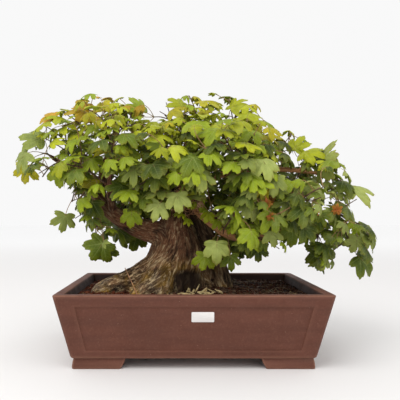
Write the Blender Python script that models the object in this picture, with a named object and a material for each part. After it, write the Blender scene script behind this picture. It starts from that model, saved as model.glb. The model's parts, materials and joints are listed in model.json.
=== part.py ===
"""Field maple bonsai in a rectangular pot, for Blender 4.5.

Run it with blender --background --python part.py, or from the text editor. Metres, +Z up, the front faces -Y.
Every size below is in millimetres times MM. The tree is grown in the pot's own frame, with its origin on the
ground under the pot's middle, and the finished object is then centred on the ground by its whole box.
"""

import math
import random
from dataclasses import dataclass

import bmesh
import bpy
from mathutils import Matrix, Vector, noise
from mathutils.bvhtree import BVHTree

MM = 0.001
GAP = 0.3 * MM
SHARP_EDGE = math.radians(40)

# Pot
RIM_WIDTH = 400 * MM
RIM_DEPTH = 285 * MM
POT_HEIGHT = 110 * MM
FOOT_HEIGHT = 15.5 * MM
WALL_LEAN = 22 / 94.5
WALL_THICKNESS = 14 * MM
FLOOR_TOP = 27 * MM
CORNER_RADIUS = 6 * MM
CORNER_STEPS = 3
RIM_ROUNDING = 1.2 * MM
BASE_ROUNDING = 3 * MM
PANEL_SIDE_MARGIN = 22 * MM
PANEL_TOP_MARGIN = 15 * MM
PANEL_BOTTOM_MARGIN = 9 * MM
PANEL_DEPTH = 1.8 * MM
PANEL_STEP = 0.8 * MM
FOOT_LONG_WING = 77 * MM
FOOT_SHORT_WING = 55 * MM
FOOT_THICKNESS = 14 * MM
FOOT_SLANT = 7 * MM
FOOT_FLARE = 1 * MM
FOOT_CHAMFER = 3 * MM
FOOT_OVERLAP = 3 * MM
DRAIN_SPACING = 170 * MM
DRAIN_RADIUS = 10 * MM
DRAIN_SIDES = 12

# Drain meshes, soil and label
MESH_SIDE = 34 * MM
MESH_THICKNESS = 1.4 * MM
SOIL_EDGE = 98.5 * MM
SOIL_MIDDLE = 99.1 * MM
SOIL_FALL = 3 * MM
SOIL_ROUGHNESS = 1.5 * MM
SOIL_NOISE_STEP = 21 * MM
SOIL_RINGS = (0.7,)
SOIL_LONG_SPANS = 5
SOIL_SHORT_SPANS = 3
ROOT_HOLE_GAP = 0.45 * MM
LABEL_WIDTH = 32 * MM
LABEL_HEIGHT = 15 * MM
LABEL_THICKNESS = 0.7 * MM
LABEL_X = 12.5 * MM
LABEL_Z = 78 * MM

# Trunk: height, left and right side, front and back side, all in millimetres from the pot's middle
TRUNK_SIDES = 16
TRUNK_OUTLINE = (
    (66, -112, 24, -58, 50),
    (98, -114, 25, -58, 50),
    (109, -108, 24, -53, 47),
    (124, -94, 21, -46, 42),
    (144, -80, 16, -40, 38),
    (168, -68, 13, -35, 34),
    (190, -61, 5, -30, 29),
    (210, -54, -7, -24, 23),
    (226, -47, -13, -17, 17),
)
RIDGE_COUNTS = (5, 9)
RIDGE_HEIGHTS = (0.07, 0.05)
HOLLOW_DIRECTION = math.radians(-48)
HOLLOW_WIDTH = math.radians(28)
HOLLOW_DEPTH = 0.36
ROOT_SIDES = 7
# Each root's points: x, y, z and radius in millimetres, from inside the trunk to inside the soil
ROOTS = (
    ((-55, -6, 128, 32), (-92, -14, 113, 25), (-126, -20, 105, 19), (-150, -24, 98, 13), (-160, -26, 88, 8)),
    ((-42, -24, 136, 24), (-64, -46, 113, 19), (-86, -64, 97, 12), (-98, -74, 86, 8)),
    ((-34, -22, 136, 21), (-40, -45, 110, 16), (-50, -64, 92, 9)),
    ((-2, 8, 128, 17), (24, 20, 105, 12), (40, 26, 88, 9)),
    ((-42, 20, 128, 22), (-60, 50, 106, 15), (-76, 76, 90, 8)),
)

# Branches: x, y, z and radius in millimetres along each
MAIN_BRANCH_SIDES = 7
THIN_BRANCH_SIDES = 5
MAIN_BRANCHES = ("second_trunk", "left", "top")
BRANCHES = {
    "second_trunk": (
        (66, 26, 72, 19), (60, 26, 92, 17), (48, 27, 131, 16), (33, 27, 173, 15.5), (17, 28, 206, 15),
        (5, 30, 240, 12), (13, 32, 282, 8), (38, 31, 325, 5.5), (62, 28, 362, 4),
    ),
    "left": (
        (-32, 0, 186, 26), (-60, -4, 194, 20), (-90, -8, 203, 17), (-130, -10, 226, 13),
        (-152, -8, 249, 10.5), (-176, -6, 276, 8), (-204, -6, 300, 5.5), (-228, -9, 317, 3.5),
    ),
    "left_rise": ((-150, -8, 247, 8), (-150, 4, 290, 6.5), (-138, 10, 332, 5), (-128, 14, 362, 3.5)),
    "left_front": ((-128, -10, 225, 7), (-130, -45, 252, 5.5), (-126, -80, 276, 4)),
    "left_back": ((-148, -8, 246, 7), (-152, 36, 274, 5.5), (-144, 84, 298, 4)),
    "top": ((-31, 0, 212, 13), (-27, 4, 250, 9.5), (-18, 8, 295, 7.5), (-8, 8, 340, 5.5), (0, 6, 372, 3.5)),
    "front": ((-28, 0, 234, 7), (-20, -34, 256, 5.5), (-12, -72, 270, 4)),
    "right": (
        (10, 26, 238, 7), (10, 2, 232, 7.5), (34, -12, 209, 7.2), (66, -14, 188, 6.6), (105, -10, 184, 6),
        (150, -6, 196, 5), (192, -6, 212, 4.2), (228, -10, 224, 3.2),
    ),
    "right_front": ((146, -6, 195, 5), (156, -44, 214, 4.2), (166, -78, 232, 3.2)),
    "right_high": (
        (14, 32, 276, 7), (58, 28, 294, 6), (118, 20, 302, 5), (172, 14, 300, 4), (214, 8, 294, 3),
    ),
    "right_high_front": ((60, 28, 294, 5), (72, -14, 306, 4.2), (80, -54, 306, 3.2)),
    "right_high_back": ((112, 20, 301, 5), (130, 58, 308, 4), (144, 92, 308, 3)),
    "back_left": ((-36, 6, 214, 10), (-54, 44, 236, 7), (-70, 86, 262, 5), (-82, 118, 280, 3.5)),
    "back_right": ((22, 30, 202, 8), (56, 58, 226, 6), (100, 84, 246, 4.5), (136, 104, 258, 3.5)),
}

# Leafy sprays: branch, how far along it, the stem tip in millimetres and how much the stem arches upwards
SPRAY_SIDES = 4
SPRAY_SPANS = 3
SPRAY_BASE_RADIUS = 2.2 * MM
SPRAY_TIP_RADIUS = 1.5 * MM
COLLAR_LENGTH = 7 * MM
LONGEST_COLLAR_SHARE = 0.6
STEM_BENDS = (0, 0.1, -0.1, 0.2, 0.3, -0.2, 0.4, -0.3)
SPRAYS = {
    "left": (
        ("left", 1.0, (-244, -14, 325), 0.10),
        ("left", 0.86, (-215, 6, 368), 0.05),
        ("left", 0.70, (-176, -6, 378), 0.0),
        ("left_rise", 0.80, (-150, -2, 388), 0.05),
        ("left_rise", 0.98, (-98, 14, 376), 0.15),
        ("left", 0.92, (-232, -62, 284), 0.15),
        ("left", 0.76, (-188, -56, 246), 0.20),
        ("left", 0.56, (-150, -46, 204), 0.20),
        ("left", 0.44, (-112, 36, 214), 0.25),
        ("left_front", 0.75, (-182, -108, 296), 0.10),
        ("left_front", 1.0, (-118, -116, 322), 0.0),
        ("left_front", 0.62, (-92, -92, 254), 0.15),
        ("left_back", 0.72, (-200, 80, 334), 0.05),
        ("left_back", 1.0, (-132, 134, 334), 0.10),
        ("left_back", 0.60, (-196, 86, 262), 0.15),
    ),
    "middle": (
        ("top", 0.85, (-42, -16, 386), 0.0),
        ("top", 1.0, (14, 16, 396), 0.0),
        ("top", 0.58, (-62, -72, 340), 0.10),
        ("front", 0.70, (-62, -112, 290), 0.10),
        ("front", 1.0, (6, -128, 298), 0.05),
        ("front", 0.85, (-34, -104, 250), 0.10),
        ("top", 0.72, (22, -66, 356), 0.05),
        ("top", 0.66, (-46, 84, 368), 0.10),
        ("back_left", 1.0, (-48, 158, 308), 0.10),
        ("back_left", 0.75, (6, 128, 352), 0.10),
        ("back_left", 0.85, (-108, 146, 252), 0.10),
    ),
    "right": (
        ("second_trunk", 1.0, (76, 6, 392), 0.0),
        ("second_trunk", 0.94, (104, 36, 368), 0.10),
        ("right_high_front", 0.70, (98, -74, 340), 0.0),
        ("right_high", 0.60, (150, 12, 336), 0.05),
        ("right_high", 0.86, (200, 0, 318), 0.05),
        ("right_high", 1.0, (246, -12, 280), 0.10),
        ("right", 0.90, (240, -52, 232), 0.10),
        ("right", 1.0, (276, -4, 206), 0.15),
        ("right", 0.94, (262, -18, 170), 0.30),
        ("right", 0.80, (206, -34, 186), 0.20),
        ("right", 0.46, (98, -76, 184), 0.20),
        ("right", 0.34, (46, -84, 196), 0.25),
        ("right_front", 1.0, (160, -116, 250), 0.0),
        ("right_high_front", 1.0, (98, -122, 280), 0.10),
        ("right_high_front", 0.50, (54, -112, 318), 0.10),
        ("right_high_back", 0.80, (158, 112, 326), 0.05),
        ("right_high_back", 0.98, (204, 88, 282), 0.10),
        ("right_high_back", 0.60, (88, 140, 326), 0.10),
        ("back_right", 1.0, (124, 152, 256), 0.10),
        ("back_right", 0.86, (192, 76, 220), 0.15),
        ("right", 0.52, (104, 44, 184), 0.25),
    ),
}

# Leaf: half of its outline as an angle from the middle lobe and a distance in leaf lengths. Droop, fold and
# waves are in leaf lengths too
LEAF_OUTLINE = ((9, 0.98), (27, 0.45), (38, 0.89), (61, 0.93), (80, 0.43), (105, 0.67), (156, 0.15))
LEAF_LENGTH = 33 * MM
LEAF_SIZES = (0.8, 1.1)
LEAF_DROOP = (0.08, 0.38)
LEAF_FOLD = (-0.02, 0.22)
LEAF_WAVE = 0.10
LEAF_THICKNESS = 0.8 * MM
LEAF_GAP = 0.7 * MM
LEAF_REACH = 2.6
PETIOLE_RADIUS = 0.85 * MM
PETIOLE_LENGTHS = (17 * MM, 29 * MM)
STALK_CLEAR_OF_STEM = 0.16
STALK_AIM = (0.8, 0.5, 0.35)
SHARPEST_BEND = math.radians(58)
TURN_SPREAD = 20
JITTER = 0.20
JITTER_PER_TRY = 0.035
HANG = (0.25, 0.75)
FACING = Vector((0, -0.08, 0.7))
OUTWARD_FACING = (0.2, 0.85)
LEAF_PAIRS = (0.96, 0.66, 0.36)
LEAF_TRIES = 16
SHOWN_ROOT_SHARES = (0.3, 0.4, 0.5, 0.6, 0.7, 0.8, 0.95)
SHOWN_FACING = Vector((0, -1, 0.25))
ROOT_NEARNESS = 8 / (1000 * MM)
LONG_STEM = 56 * MM
YOUNG_LEAF_HEIGHT = 350 * MM
INNER_LEAF_HEIGHT = 200 * MM
INNER_LEAF_DEPTH = 60 * MM
LOWEST_LEAF = 117 * MM
CROWN_MIDDLE = Vector((0, 50, 235)) * MM
CROWN_RADII = Vector((320, 190, 200)) * MM
CROWN_REACH = 1.12

# The crown's outline as it is seen from the viewing place, x and z in millimetres in the plane y = 0
VIEWING_PLACE = Vector((-26, -832, 219)) * MM
CROWN_OUTLINE = (
    (-311, 282), (-312, 311), (-296, 328), (-289, 351), (-267, 368), (-263, 396), (-226, 399), (-222, 420),
    (-195, 427), (-178, 433), (-158, 426), (-141, 432), (-107, 431), (-86, 417), (-67, 396), (-59, 385),
    (-47, 405), (-35, 428), (-8, 428), (23, 434), (57, 426), (89, 427), (108, 411), (134, 400), (140, 381),
    (150, 375), (182, 366), (205, 349), (230, 337), (253, 318), (268, 302), (269, 283), (335, 280),
    (335, 261), (276, 256), (276, 227), (303, 204), (331, 181), (314, 160), (325, 120), (297, 122),
    (275, 145), (267, 168), (247, 168), (247, 124), (209, 124), (188, 151), (185, 166), (168, 160),
    (141, 164), (116, 152), (93, 147), (70, 126), (15, 125), (3, 160), (-3, 211), (-66, 211), (-83, 194),
    (-86, 160), (-111, 160), (-134, 186), (-132, 128), (-183, 126), (-188, 160), (-157, 187), (-188, 196),
    (-204, 240), (-195, 259), (-224, 270), (-242, 285), (-271, 296), (-281, 269), (-305, 270),
)

# Wood that shows between the leaves, outlined in the same way: the left branch, and the foot of the right one
BARE_WOOD_DEPTH = -5 * MM
BARE_WOOD = (
    (
        (-158, 253), (-140, 248), (-123, 233), (-82, 221), (-69, 225), (-69, 181), (-86, 184), (-108, 196),
        (-133, 211), (-153, 235),
    ),
    ((-19, 246), (28, 250), (39, 213), (72, 189), (59, 179), (23, 198), (-15, 213)),
)

# Leaves that show best from the front: spray, blade base in millimetres, the way the tip points as degrees
# from the right in the front view, how far the tip leans to the viewer in degrees, roll in degrees and length
# in millimetres
SHOWN_LEAVES = (
    ("spray_left_1", (-247, -18, 349), -143, 0, 34, 38),
    ("spray_left_1", (-268, -36, 320), -137, 0, 28, 40),
    ("spray_left_1", (-276, -4, 303), -99, 0, -10, 30),
    ("spray_left_2", (-231, 6, 391), -156, 5, 32, 33),
    ("spray_left_3", (-184, 0, 404), 70, -12, 0, 25),
    ("spray_left_3", (-171, -22, 390), -171, 5, 52, 36),
    ("spray_left_4", (-145, 0, 402), 84, -15, 0, 27),
    ("spray_left_5", (-83, 4, 400), 160, 0, 38, 36),
    ("spray_left_6", (-209, -52, 293), -95, 10, 0, 28),
    ("spray_left_7", (-198, -60, 221), -97, 10, -30, 30),
    ("spray_left_7", (-158, -46, 243), -132, 5, 10, 32),
    ("spray_left_8", (-141, -54, 178), -123, 10, -15, 39),
    ("spray_left_8", (-138, -32, 168), -78, 0, 0, 28),
    ("spray_left_9", (-125, 20, 199), -84, 0, 42, 38),
    ("spray_left_9", (-94, 34, 188), -112, 5, -25, 34),
    ("spray_left_10", (-158, -66, 274), -92, 15, 0, 25),
    ("spray_left_11", (-126, -92, 320), 163, 5, 50, 32),
    ("spray_left_12", (-94, -64, 226), -98, 15, 0, 26),
    ("spray_left_12", (-106, -100, 266), -112, 10, 0, 29),
    ("spray_middle_6", (-50, -108, 238), -112, 20, 0, 28),
    ("spray_middle_6", (-24, -116, 252), -82, 25, 0, 28),
    ("spray_middle_1", (-16, -2, 408), 165, -5, 35, 29),
    ("spray_middle_2", (32, 20, 412), 25, -5, -45, 30),
    ("spray_right_1", (68, -8, 402), 40, -10, -40, 31),
    ("spray_right_1", (87, 4, 394), 35, 0, -35, 27),
    ("spray_right_2", (99, 40, 395), -10, 0, -42, 42),
    ("spray_right_5", (176, 6, 336), 22, 0, -35, 30),
    ("spray_right_5", (186, -18, 326), -6, 0, -45, 38),
    ("spray_right_6", (209, -16, 308), -10, 0, -42, 48),
    ("spray_right_6", (261, -16, 271), 1, 0, -48, 52),
    ("spray_right_7", (202, -50, 261), -104, 10, 0, 25),
    ("spray_right_8", (282, -14, 198), -26, 5, -30, 36),
    ("spray_right_9", (264, -42, 184), -112, 5, 0, 27),
    ("spray_right_9", (278, -16, 153), -42, 8, -20, 40),
    ("spray_right_10", (210, -30, 169), -80, 5, 0, 40),
    ("spray_right_13", (153, -74, 204), -90, 10, 0, 30),
    ("spray_right_11", (93, -78, 207), -95, 15, 0, 26),
    ("spray_right_11", (119, -82, 196), -91, 15, 0, 24),
    ("spray_right_11", (102, -60, 172), -85, 10, 0, 28),
    ("spray_right_12", (36, -88, 180), -90, 30, 0, 32),
    ("spray_right_12", (20, -74, 160), -106, 20, 0, 27),
    ("spray_right_12", (59, -68, 159), -85, 20, 0, 25),
    ("spray_right_14", (100, -118, 267), 188, 12, 10, 29),
    ("spray_right_14", (114, -128, 275), -92, 25, 0, 28),
)

COLOURS = {
    "pot": ((0.142, 0.058, 0.040), 0.62),
    "drain_mesh": ((0.02, 0.02, 0.02), 0.6),
    "soil": ((0.060, 0.028, 0.016), 0.95),
    "label": ((0.82, 0.82, 0.80), 0.5),
    "trunk": ((0.120, 0.066, 0.038), 0.85),
    "leaf": ((0.130, 0.270, 0.045), 0.5),
    "leaf_young": ((0.300, 0.400, 0.040), 0.5),
    "leaf_inner": ((0.060, 0.140, 0.035), 0.5),
}


def in_metres(values):
    return Vector(values[:3]) * MM


def material(name):
    if name in bpy.data.materials:
        return bpy.data.materials[name]
    colour, roughness = COLOURS[name]
    made = bpy.data.materials.new(name)
    made.use_nodes = True
    shader = made.node_tree.nodes["Principled BSDF"]
    shader.inputs["Base Color"].default_value = (*colour, 1)
    shader.inputs["Roughness"].default_value = roughness
    shader.inputs["Metallic"].default_value = 0
    return made


def new_object(name, shape, finish):
    """A mesh object from vertices and faces, with its faces turned outwards."""
    bm = bmesh.new()
    corners = [bm.verts.new(corner) for corner in shape[0]]
    for face in shape[1]:
        bm.faces.new([corners[index] for index in face])
    bmesh.ops.recalc_face_normals(bm, faces=bm.faces)
    mesh = bpy.data.meshes.new(name)
    bm.to_mesh(mesh)
    bm.free()
    mesh.materials.append(material(finish))
    obj = bpy.data.objects.new(name, mesh)
    bpy.context.scene.collection.objects.link(obj)
    return obj


def apply_modifiers(obj):
    graph = bpy.context.evaluated_depsgraph_get()
    old = obj.data
    obj.data = bpy.data.meshes.new_from_object(obj.evaluated_get(graph))
    obj.modifiers.clear()
    name = old.name
    bpy.data.meshes.remove(old)
    obj.data.name = name


def combine(obj, others, operation):
    """Joins the other objects to this one, or cuts them from it, with one Boolean on a collection."""
    group = bpy.data.collections.new(f"{obj.name}_others")
    bpy.context.scene.collection.children.link(group)
    for other in others:
        bpy.context.scene.collection.objects.unlink(other)
        group.objects.link(other)
    boolean = obj.modifiers.new(operation.lower(), "BOOLEAN")
    boolean.operation = operation
    boolean.operand_type = "COLLECTION"
    boolean.collection = group
    boolean.solver = "MANIFOLD"
    apply_modifiers(obj)
    for other in others:
        bpy.data.meshes.remove(other.data)
    bpy.data.collections.remove(group)


def fused(name, shapes, finish):
    """One object from shapes that run into each other."""
    obj = new_object(name, shapes[0], finish)
    others = [new_object(f"{name}_piece", shape, finish) for shape in shapes[1:]]
    combine(obj, others, "UNION")
    return obj


def search_tree(shape):
    return BVHTree.FromPolygons(shape[0], shape[1])


# Tubes and routes


def tube_frames(path):
    """A side and an up vector at each point of a path, turned as little as possible from one to the next."""
    runs = [(b - a).normalized() for a, b in zip(path, path[1:])]
    along = [runs[0]] + [(a + b).normalized() for a, b in zip(runs, runs[1:])] + [runs[-1]]
    reference = Vector((0, 0, 1)) if abs(along[0].z) < 0.8 else Vector((1, 0, 0))
    side = along[0].cross(reference).normalized()
    frames = []
    for run in along:
        side = (side - run * side.dot(run)).normalized()
        frames.append((side, run.cross(side)))
    return frames


def ring(middle, frame, radius, sides):
    side, up = frame
    turns = [2 * math.pi * step / sides for step in range(sides)]
    return [middle + (side * math.cos(turn) + up * math.sin(turn)) * radius for turn in turns]


def tube(rings, split=True):
    """A closed shape through rings with the same number of points, with flat ends."""
    sides = len(rings[0])
    corners = [corner for points in rings for corner in points]
    faces = [tuple(range(sides)), tuple(range(len(corners) - sides, len(corners)))]
    for row in range(len(rings) - 1):
        for step in range(sides):
            after = (step + 1) % sides
            low, high = row * sides, (row + 1) * sides
            if split:
                faces.append((low + step, low + after, high + after))
                faces.append((low + step, high + after, high + step))
            else:
                faces.append((low + step, low + after, high + after, high + step))
    return corners, faces


def tapered_tube(points, sides, extra=0.0):
    """A tube through x, y, z and radius in millimetres, made thicker and longer by extra."""
    path = [in_metres(point) for point in points]
    frames = tube_frames(path)
    path[0] = path[0] + (path[0] - path[1]).normalized() * extra
    path[-1] = path[-1] + (path[-1] - path[-2]).normalized() * extra
    rings = [
        ring(middle, frame, point[3] * MM + extra, sides)
        for middle, frame, point in zip(path, frames, points)
    ]
    return tube(rings)


def along_path(path, share):
    """The point and the direction at this share of a path's length."""
    runs = [(b - a).length for a, b in zip(path, path[1:])]
    left = share * sum(runs)
    for start, end, run in zip(path, path[1:], runs):
        if left <= run or end is path[-1]:
            return start.lerp(end, min(left / run, 1.0)), (end - start).normalized()
        left -= run
    raise ValueError("a path needs at least two points")


def arched(start, end, lift, share):
    """A point on the arched line from start to end, whose middle is raised by lift times the span."""
    bend = (start + end) / 2 + Vector((0, 0, 2 * lift * (end - start).length))
    return start.lerp(bend, share).lerp(bend.lerp(end, share), share)


# Sprays and leaves


@dataclass
class Spray:
    """A leafy shoot: its route from inside the branch to its tip, and what grows on it."""

    name: str
    collar: tuple
    path: list
    shape: tuple
    leaves: list


@dataclass
class Leaf:
    """A blade's place, size and form, and the point inside the stem where its stalk ends."""

    base: Vector
    along: Vector
    normal: Vector
    root: Vector
    length: float
    droop: float
    fold: float
    waves: tuple


def branch_point(branch, share):
    points = BRANCHES[branch]
    place, _ = along_path([in_metres(point) for point in points], share)
    nearest = min(points, key=lambda point: (in_metres(point) - place).length)
    return place, nearest[3] * MM


def spray_route(branch, share, tip, lift):
    """The collar's and the stem's rings, and the stem's middle line."""
    start, thickness = branch_point(branch, share)
    end = in_metres(tip)
    span = (end - start).length
    collar_end = min((thickness + COLLAR_LENGTH) / span, LONGEST_COLLAR_SHARE)
    stem_start = collar_end + GAP / span
    steps = [step / SPRAY_SPANS for step in range(SPRAY_SPANS + 1)]
    shares = [0.0, collar_end] + [stem_start + (1 - stem_start) * step for step in steps]
    path = [arched(start, end, lift, value) for value in shares]
    radii = [SPRAY_BASE_RADIUS] * 2
    radii += [SPRAY_BASE_RADIUS + (SPRAY_TIP_RADIUS - SPRAY_BASE_RADIUS) * step for step in steps]
    frames = tube_frames(path)
    frames[0] = frames[1] = frames[2]
    rings = [
        ring(middle, frame, radius, SPRAY_SIDES)
        for middle, frame, radius in zip(path, frames, radii)
    ]
    return tube(rings[:2]), path[2:], tube(rings[2:])


def grow_stems(wood):
    """Every spray's stem. One whose way is blocked is bent clear."""
    sprays = []
    blocked = [search_tree(shape) for shape in wood]
    stems = []
    for side, rows in SPRAYS.items():
        for number, (branch, share, tip, lift) in enumerate(rows, 1):
            for shift in STEM_BENDS:
                collar, path, shape = spray_route(branch, share, tip, lift + shift)
                collar_tree, stem_tree = search_tree(collar), search_tree(shape)
                meets_wood = any(stem_tree.overlap(other) for other in blocked + stems)
                if not meets_wood and not any(collar_tree.overlap(other) for other in stems):
                    break
            else:
                raise ValueError(f"spray_{side}_{number} can't be bent clear of other wood")
            blocked.append(collar_tree)
            stems.append(stem_tree)
            sprays.append(Spray(f"spray_{side}_{number}", collar, path, shape, []))
    return sprays


def leaf_outline():
    """The outline in leaf lengths, from the tip down the right side to the base and up the left side."""
    right = [
        (distance * math.sin(math.radians(angle)), distance * math.cos(math.radians(angle)))
        for angle, distance in LEAF_OUTLINE
    ]
    return right + [(-x, y) for x, y in reversed(right)]


def leaf_height(leaf, x, y, wave):
    """How far a point of the blade stands off its plane, in leaf lengths."""
    return -leaf.droop * max(y, 0) ** 2 - leaf.fold * abs(x) + wave * math.hypot(x, y)


def leaf_shape(leaf, thickness=LEAF_THICKNESS, stalk_start=0.0):
    """A blade with the same triangles on both faces, and its stalk grown out of the base edge."""
    outline = leaf_outline()
    count = len(outline)
    side = leaf.along.cross(leaf.normal)
    corners = []
    for level in (thickness / 2, -thickness / 2):
        for (x, y), wave in zip(outline, leaf.waves):
            height = leaf_height(leaf, x, y, wave) * leaf.length + level
            corners.append(leaf.base + (side * x + leaf.along * y) * leaf.length + leaf.normal * height)
    corners += [leaf.base + leaf.normal * thickness / 2, leaf.base - leaf.normal * thickness / 2]
    faces = []
    base_edge = count // 2 - 1
    for step in range(count):
        after = (step + 1) % count
        faces.append((2 * count, step, after))
        faces.append((2 * count + 1, count + after, count + step))
        if step != base_edge:
            faces.append((step, count + step, count + after, after))
    stalk = (leaf.base - leaf.root).normalized()
    across = (side - stalk * side.dot(stalk)).normalized() * PETIOLE_RADIUS
    up = across.cross(stalk).normalized() * PETIOLE_RADIUS
    if up.dot(leaf.normal) < 0:
        up = -up
    end = leaf.root.lerp(leaf.base, stalk_start)
    top = len(corners)
    left, right = top + 1, top + 2
    corners += [end + up, end - across - up / 2, end + across - up / 2]
    top_right, top_left = base_edge, base_edge + 1
    low_right, low_left = count + base_edge, count + base_edge + 1
    faces += [
        (top_right, top_left, top), (top_left, low_left, left), (top_left, left, top),
        (low_left, low_right, right), (low_left, right, left), (low_right, top_right, top),
        (low_right, top, right), (top, left, right),
    ]
    return corners, faces


def in_crown(corners):
    """True if the leaf stays above the pot's rim, inside the crown and clear of the wood that shows."""
    for corner in corners:
        if corner.z < LOWEST_LEAF:
            return False
        away = corner - CROWN_MIDDLE
        if (away.x / CROWN_RADII.x) ** 2 + (away.y / CROWN_RADII.y) ** 2 > CROWN_REACH ** 2:
            return False
        if not in_outline(*seen_place(corner), CROWN_OUTLINE):
            return False
    return not hides_wood(corners)


def seen_place(corner):
    """Where the corner shows from the viewing place, as x and z in millimetres in the plane y = 0."""
    scale = -VIEWING_PLACE.y / (corner.y - VIEWING_PLACE.y)
    seen = VIEWING_PLACE + (corner - VIEWING_PLACE) * scale
    return seen.x / MM, seen.z / MM


def hides_wood(corners):
    """True if a corner, or the middle between it and the last one, lies before the wood that shows."""
    spots = [*corners, *(corner.lerp(corners[-1], 0.5) for corner in corners)]
    return any(
        spot.y < BARE_WOOD_DEPTH and in_outline(*seen_place(spot), outline)
        for spot in spots for outline in BARE_WOOD
    )


def in_outline(x, z, outline):
    inside = False
    for (ax, az), (bx, bz) in zip(outline, outline[1:] + outline[:1]):
        if (az > z) != (bz > z) and x < ax + (z - az) / (bz - az) * (bx - ax):
            inside = not inside
    return inside


def bent_within(stalk, along):
    """The blade's direction, turned back towards its stalk where the bend would be too sharp."""
    if stalk.angle(along) <= SHARPEST_BEND:
        return along
    return Matrix.Rotation(SHARPEST_BEND, 3, stalk.cross(along)) @ stalk


def square_to(normal, along):
    return (normal - along * normal.dot(along)).normalized()


def drawn_form(draw):
    """A blade's droop, fold and waves."""
    waves = tuple(draw.uniform(-LEAF_WAVE, LEAF_WAVE) for _ in leaf_outline())
    return draw.uniform(*LEAF_DROOP), draw.uniform(*LEAF_FOLD), waves


def shown_leaf(row, spray, attempt):
    """A leaf at a stated place, rooted where the stem leads to it best."""
    name, base, turn, lean, roll, length = row
    draw = random.Random(f"{name} shown {base} {attempt}")
    turn, lean, roll = (math.radians(value + draw.uniform(-2, 2) * attempt) for value in (turn, lean, roll))
    along = Vector((math.cos(turn) * math.cos(lean), -math.sin(lean), math.sin(turn) * math.cos(lean)))
    blade = in_metres(base)
    roots = [along_path(spray.path, share)[0] for share in SHOWN_ROOT_SHARES]
    root = min(roots, key=lambda point: (blade - point).angle(along) + ROOT_NEARNESS * (blade - point).length)
    along = bent_within((blade - root).normalized(), along)
    normal = Matrix.Rotation(roll, 3, along) @ square_to(SHOWN_FACING, along)
    droop, fold, waves = drawn_form(draw)
    return Leaf(blade, along, normal, root, length * MM, droop, fold, waves)


def spray_leaf(spray, share, turn, attempt):
    """A leaf on the spray at this share of its stem, standing out at this turn round it."""
    draw = random.Random(f"{spray.name} {share} {turn} {attempt}")
    loose = JITTER + JITTER_PER_TRY * attempt
    jitter = Vector([draw.uniform(-loose, loose) for _ in range(3)])
    root, run = along_path(spray.path, share)
    level = run.cross(Vector((0, 0, 1)))
    level = level.normalized() if level.length > 0.2 else Vector((1, 0, 0))
    upward = level.cross(run)
    angle = math.radians(turn + draw.uniform(-TURN_SPREAD, TURN_SPREAD) * (1 + attempt / 4))
    out = root - CROWN_MIDDLE
    out = Vector((out.x / CROWN_RADII.x, out.y / CROWN_RADII.y, out.z / CROWN_RADII.z)).normalized()
    aside, onward, outward = STALK_AIM
    stalk = level * math.cos(angle) + upward * math.sin(angle)
    stalk = (stalk * aside + run * onward + out * outward + jitter).normalized()
    base = root + stalk * draw.uniform(*PETIOLE_LENGTHS)
    normal = out * draw.uniform(*OUTWARD_FACING) + FACING + jitter
    along = stalk * 0.6 + Vector((0, 0, -draw.uniform(*HANG))) + out * 0.15 - jitter
    along = square_to(along, normal.normalized())
    along = bent_within(stalk, along)
    normal = square_to(normal, along)
    droop, fold, waves = drawn_form(draw)
    length = LEAF_LENGTH * draw.uniform(*LEAF_SIZES)
    return Leaf(base, along, normal, root, length, droop, fold, waves)


def leaf_tree(leaf):
    """The leaf made thicker for a gap, without the end of its stalk that lies in its own stem."""
    return search_tree(leaf_shape(leaf, LEAF_THICKNESS + 2 * LEAF_GAP, STALK_CLEAR_OF_STEM))


class Crown:
    """What is already in the crown, to test whether another leaf has room."""

    def __init__(self, wood, sprays):
        self.wood = [search_tree(shape) for shape in wood]
        self.stems = {spray.name: search_tree(spray.shape) for spray in sprays}
        self.placed = []

    def has_room(self, leaf):
        """False if the leaf meets wood, a stem or another leaf."""
        tree = leaf_tree(leaf)
        if any(tree.overlap(other) for other in self.wood):
            return False
        if any(tree.overlap(other) for other in self.stems.values()):
            return False
        reach = leaf.length * LEAF_REACH
        return not any(
            (leaf.base - other_leaf.base).length < reach and tree.overlap(other)
            for other_leaf, other in self.placed
        )

    def add(self, spray, leaf):
        spray.leaves.append(leaf)
        self.placed.append((leaf, leaf_tree(leaf)))


def most_leaves(spray):
    """A long stem carries two pairs, a short one a pair and one more leaf."""
    return 4 if (spray.path[-1] - spray.path[0]).length > LONG_STEM else 3


def grow_leaves(wood, sprays):
    """The leaves that show best first, then pairs from each spray's tip back towards its base."""
    crown = Crown(wood, sprays)
    by_name = {spray.name: spray for spray in sprays}
    for row in SHOWN_LEAVES:
        spray = by_name[row[0]]
        for attempt in range(LEAF_TRIES):
            leaf = shown_leaf(row, spray, attempt)
            if crown.has_room(leaf):
                crown.add(spray, leaf)
                break
        else:
            raise ValueError(f"there is no room for the shown leaf {row}")
    for pair, share in enumerate(LEAF_PAIRS):
        for turn in (0, 180):
            for spray in sprays:
                if len(spray.leaves) >= most_leaves(spray):
                    continue
                for attempt in range(LEAF_TRIES):
                    leaf = spray_leaf(spray, share, turn + 90 * (pair % 2), attempt)
                    if in_crown(leaf_shape(leaf)[0]) and crown.has_room(leaf):
                        crown.add(spray, leaf)
                        break


# Wood


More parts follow.
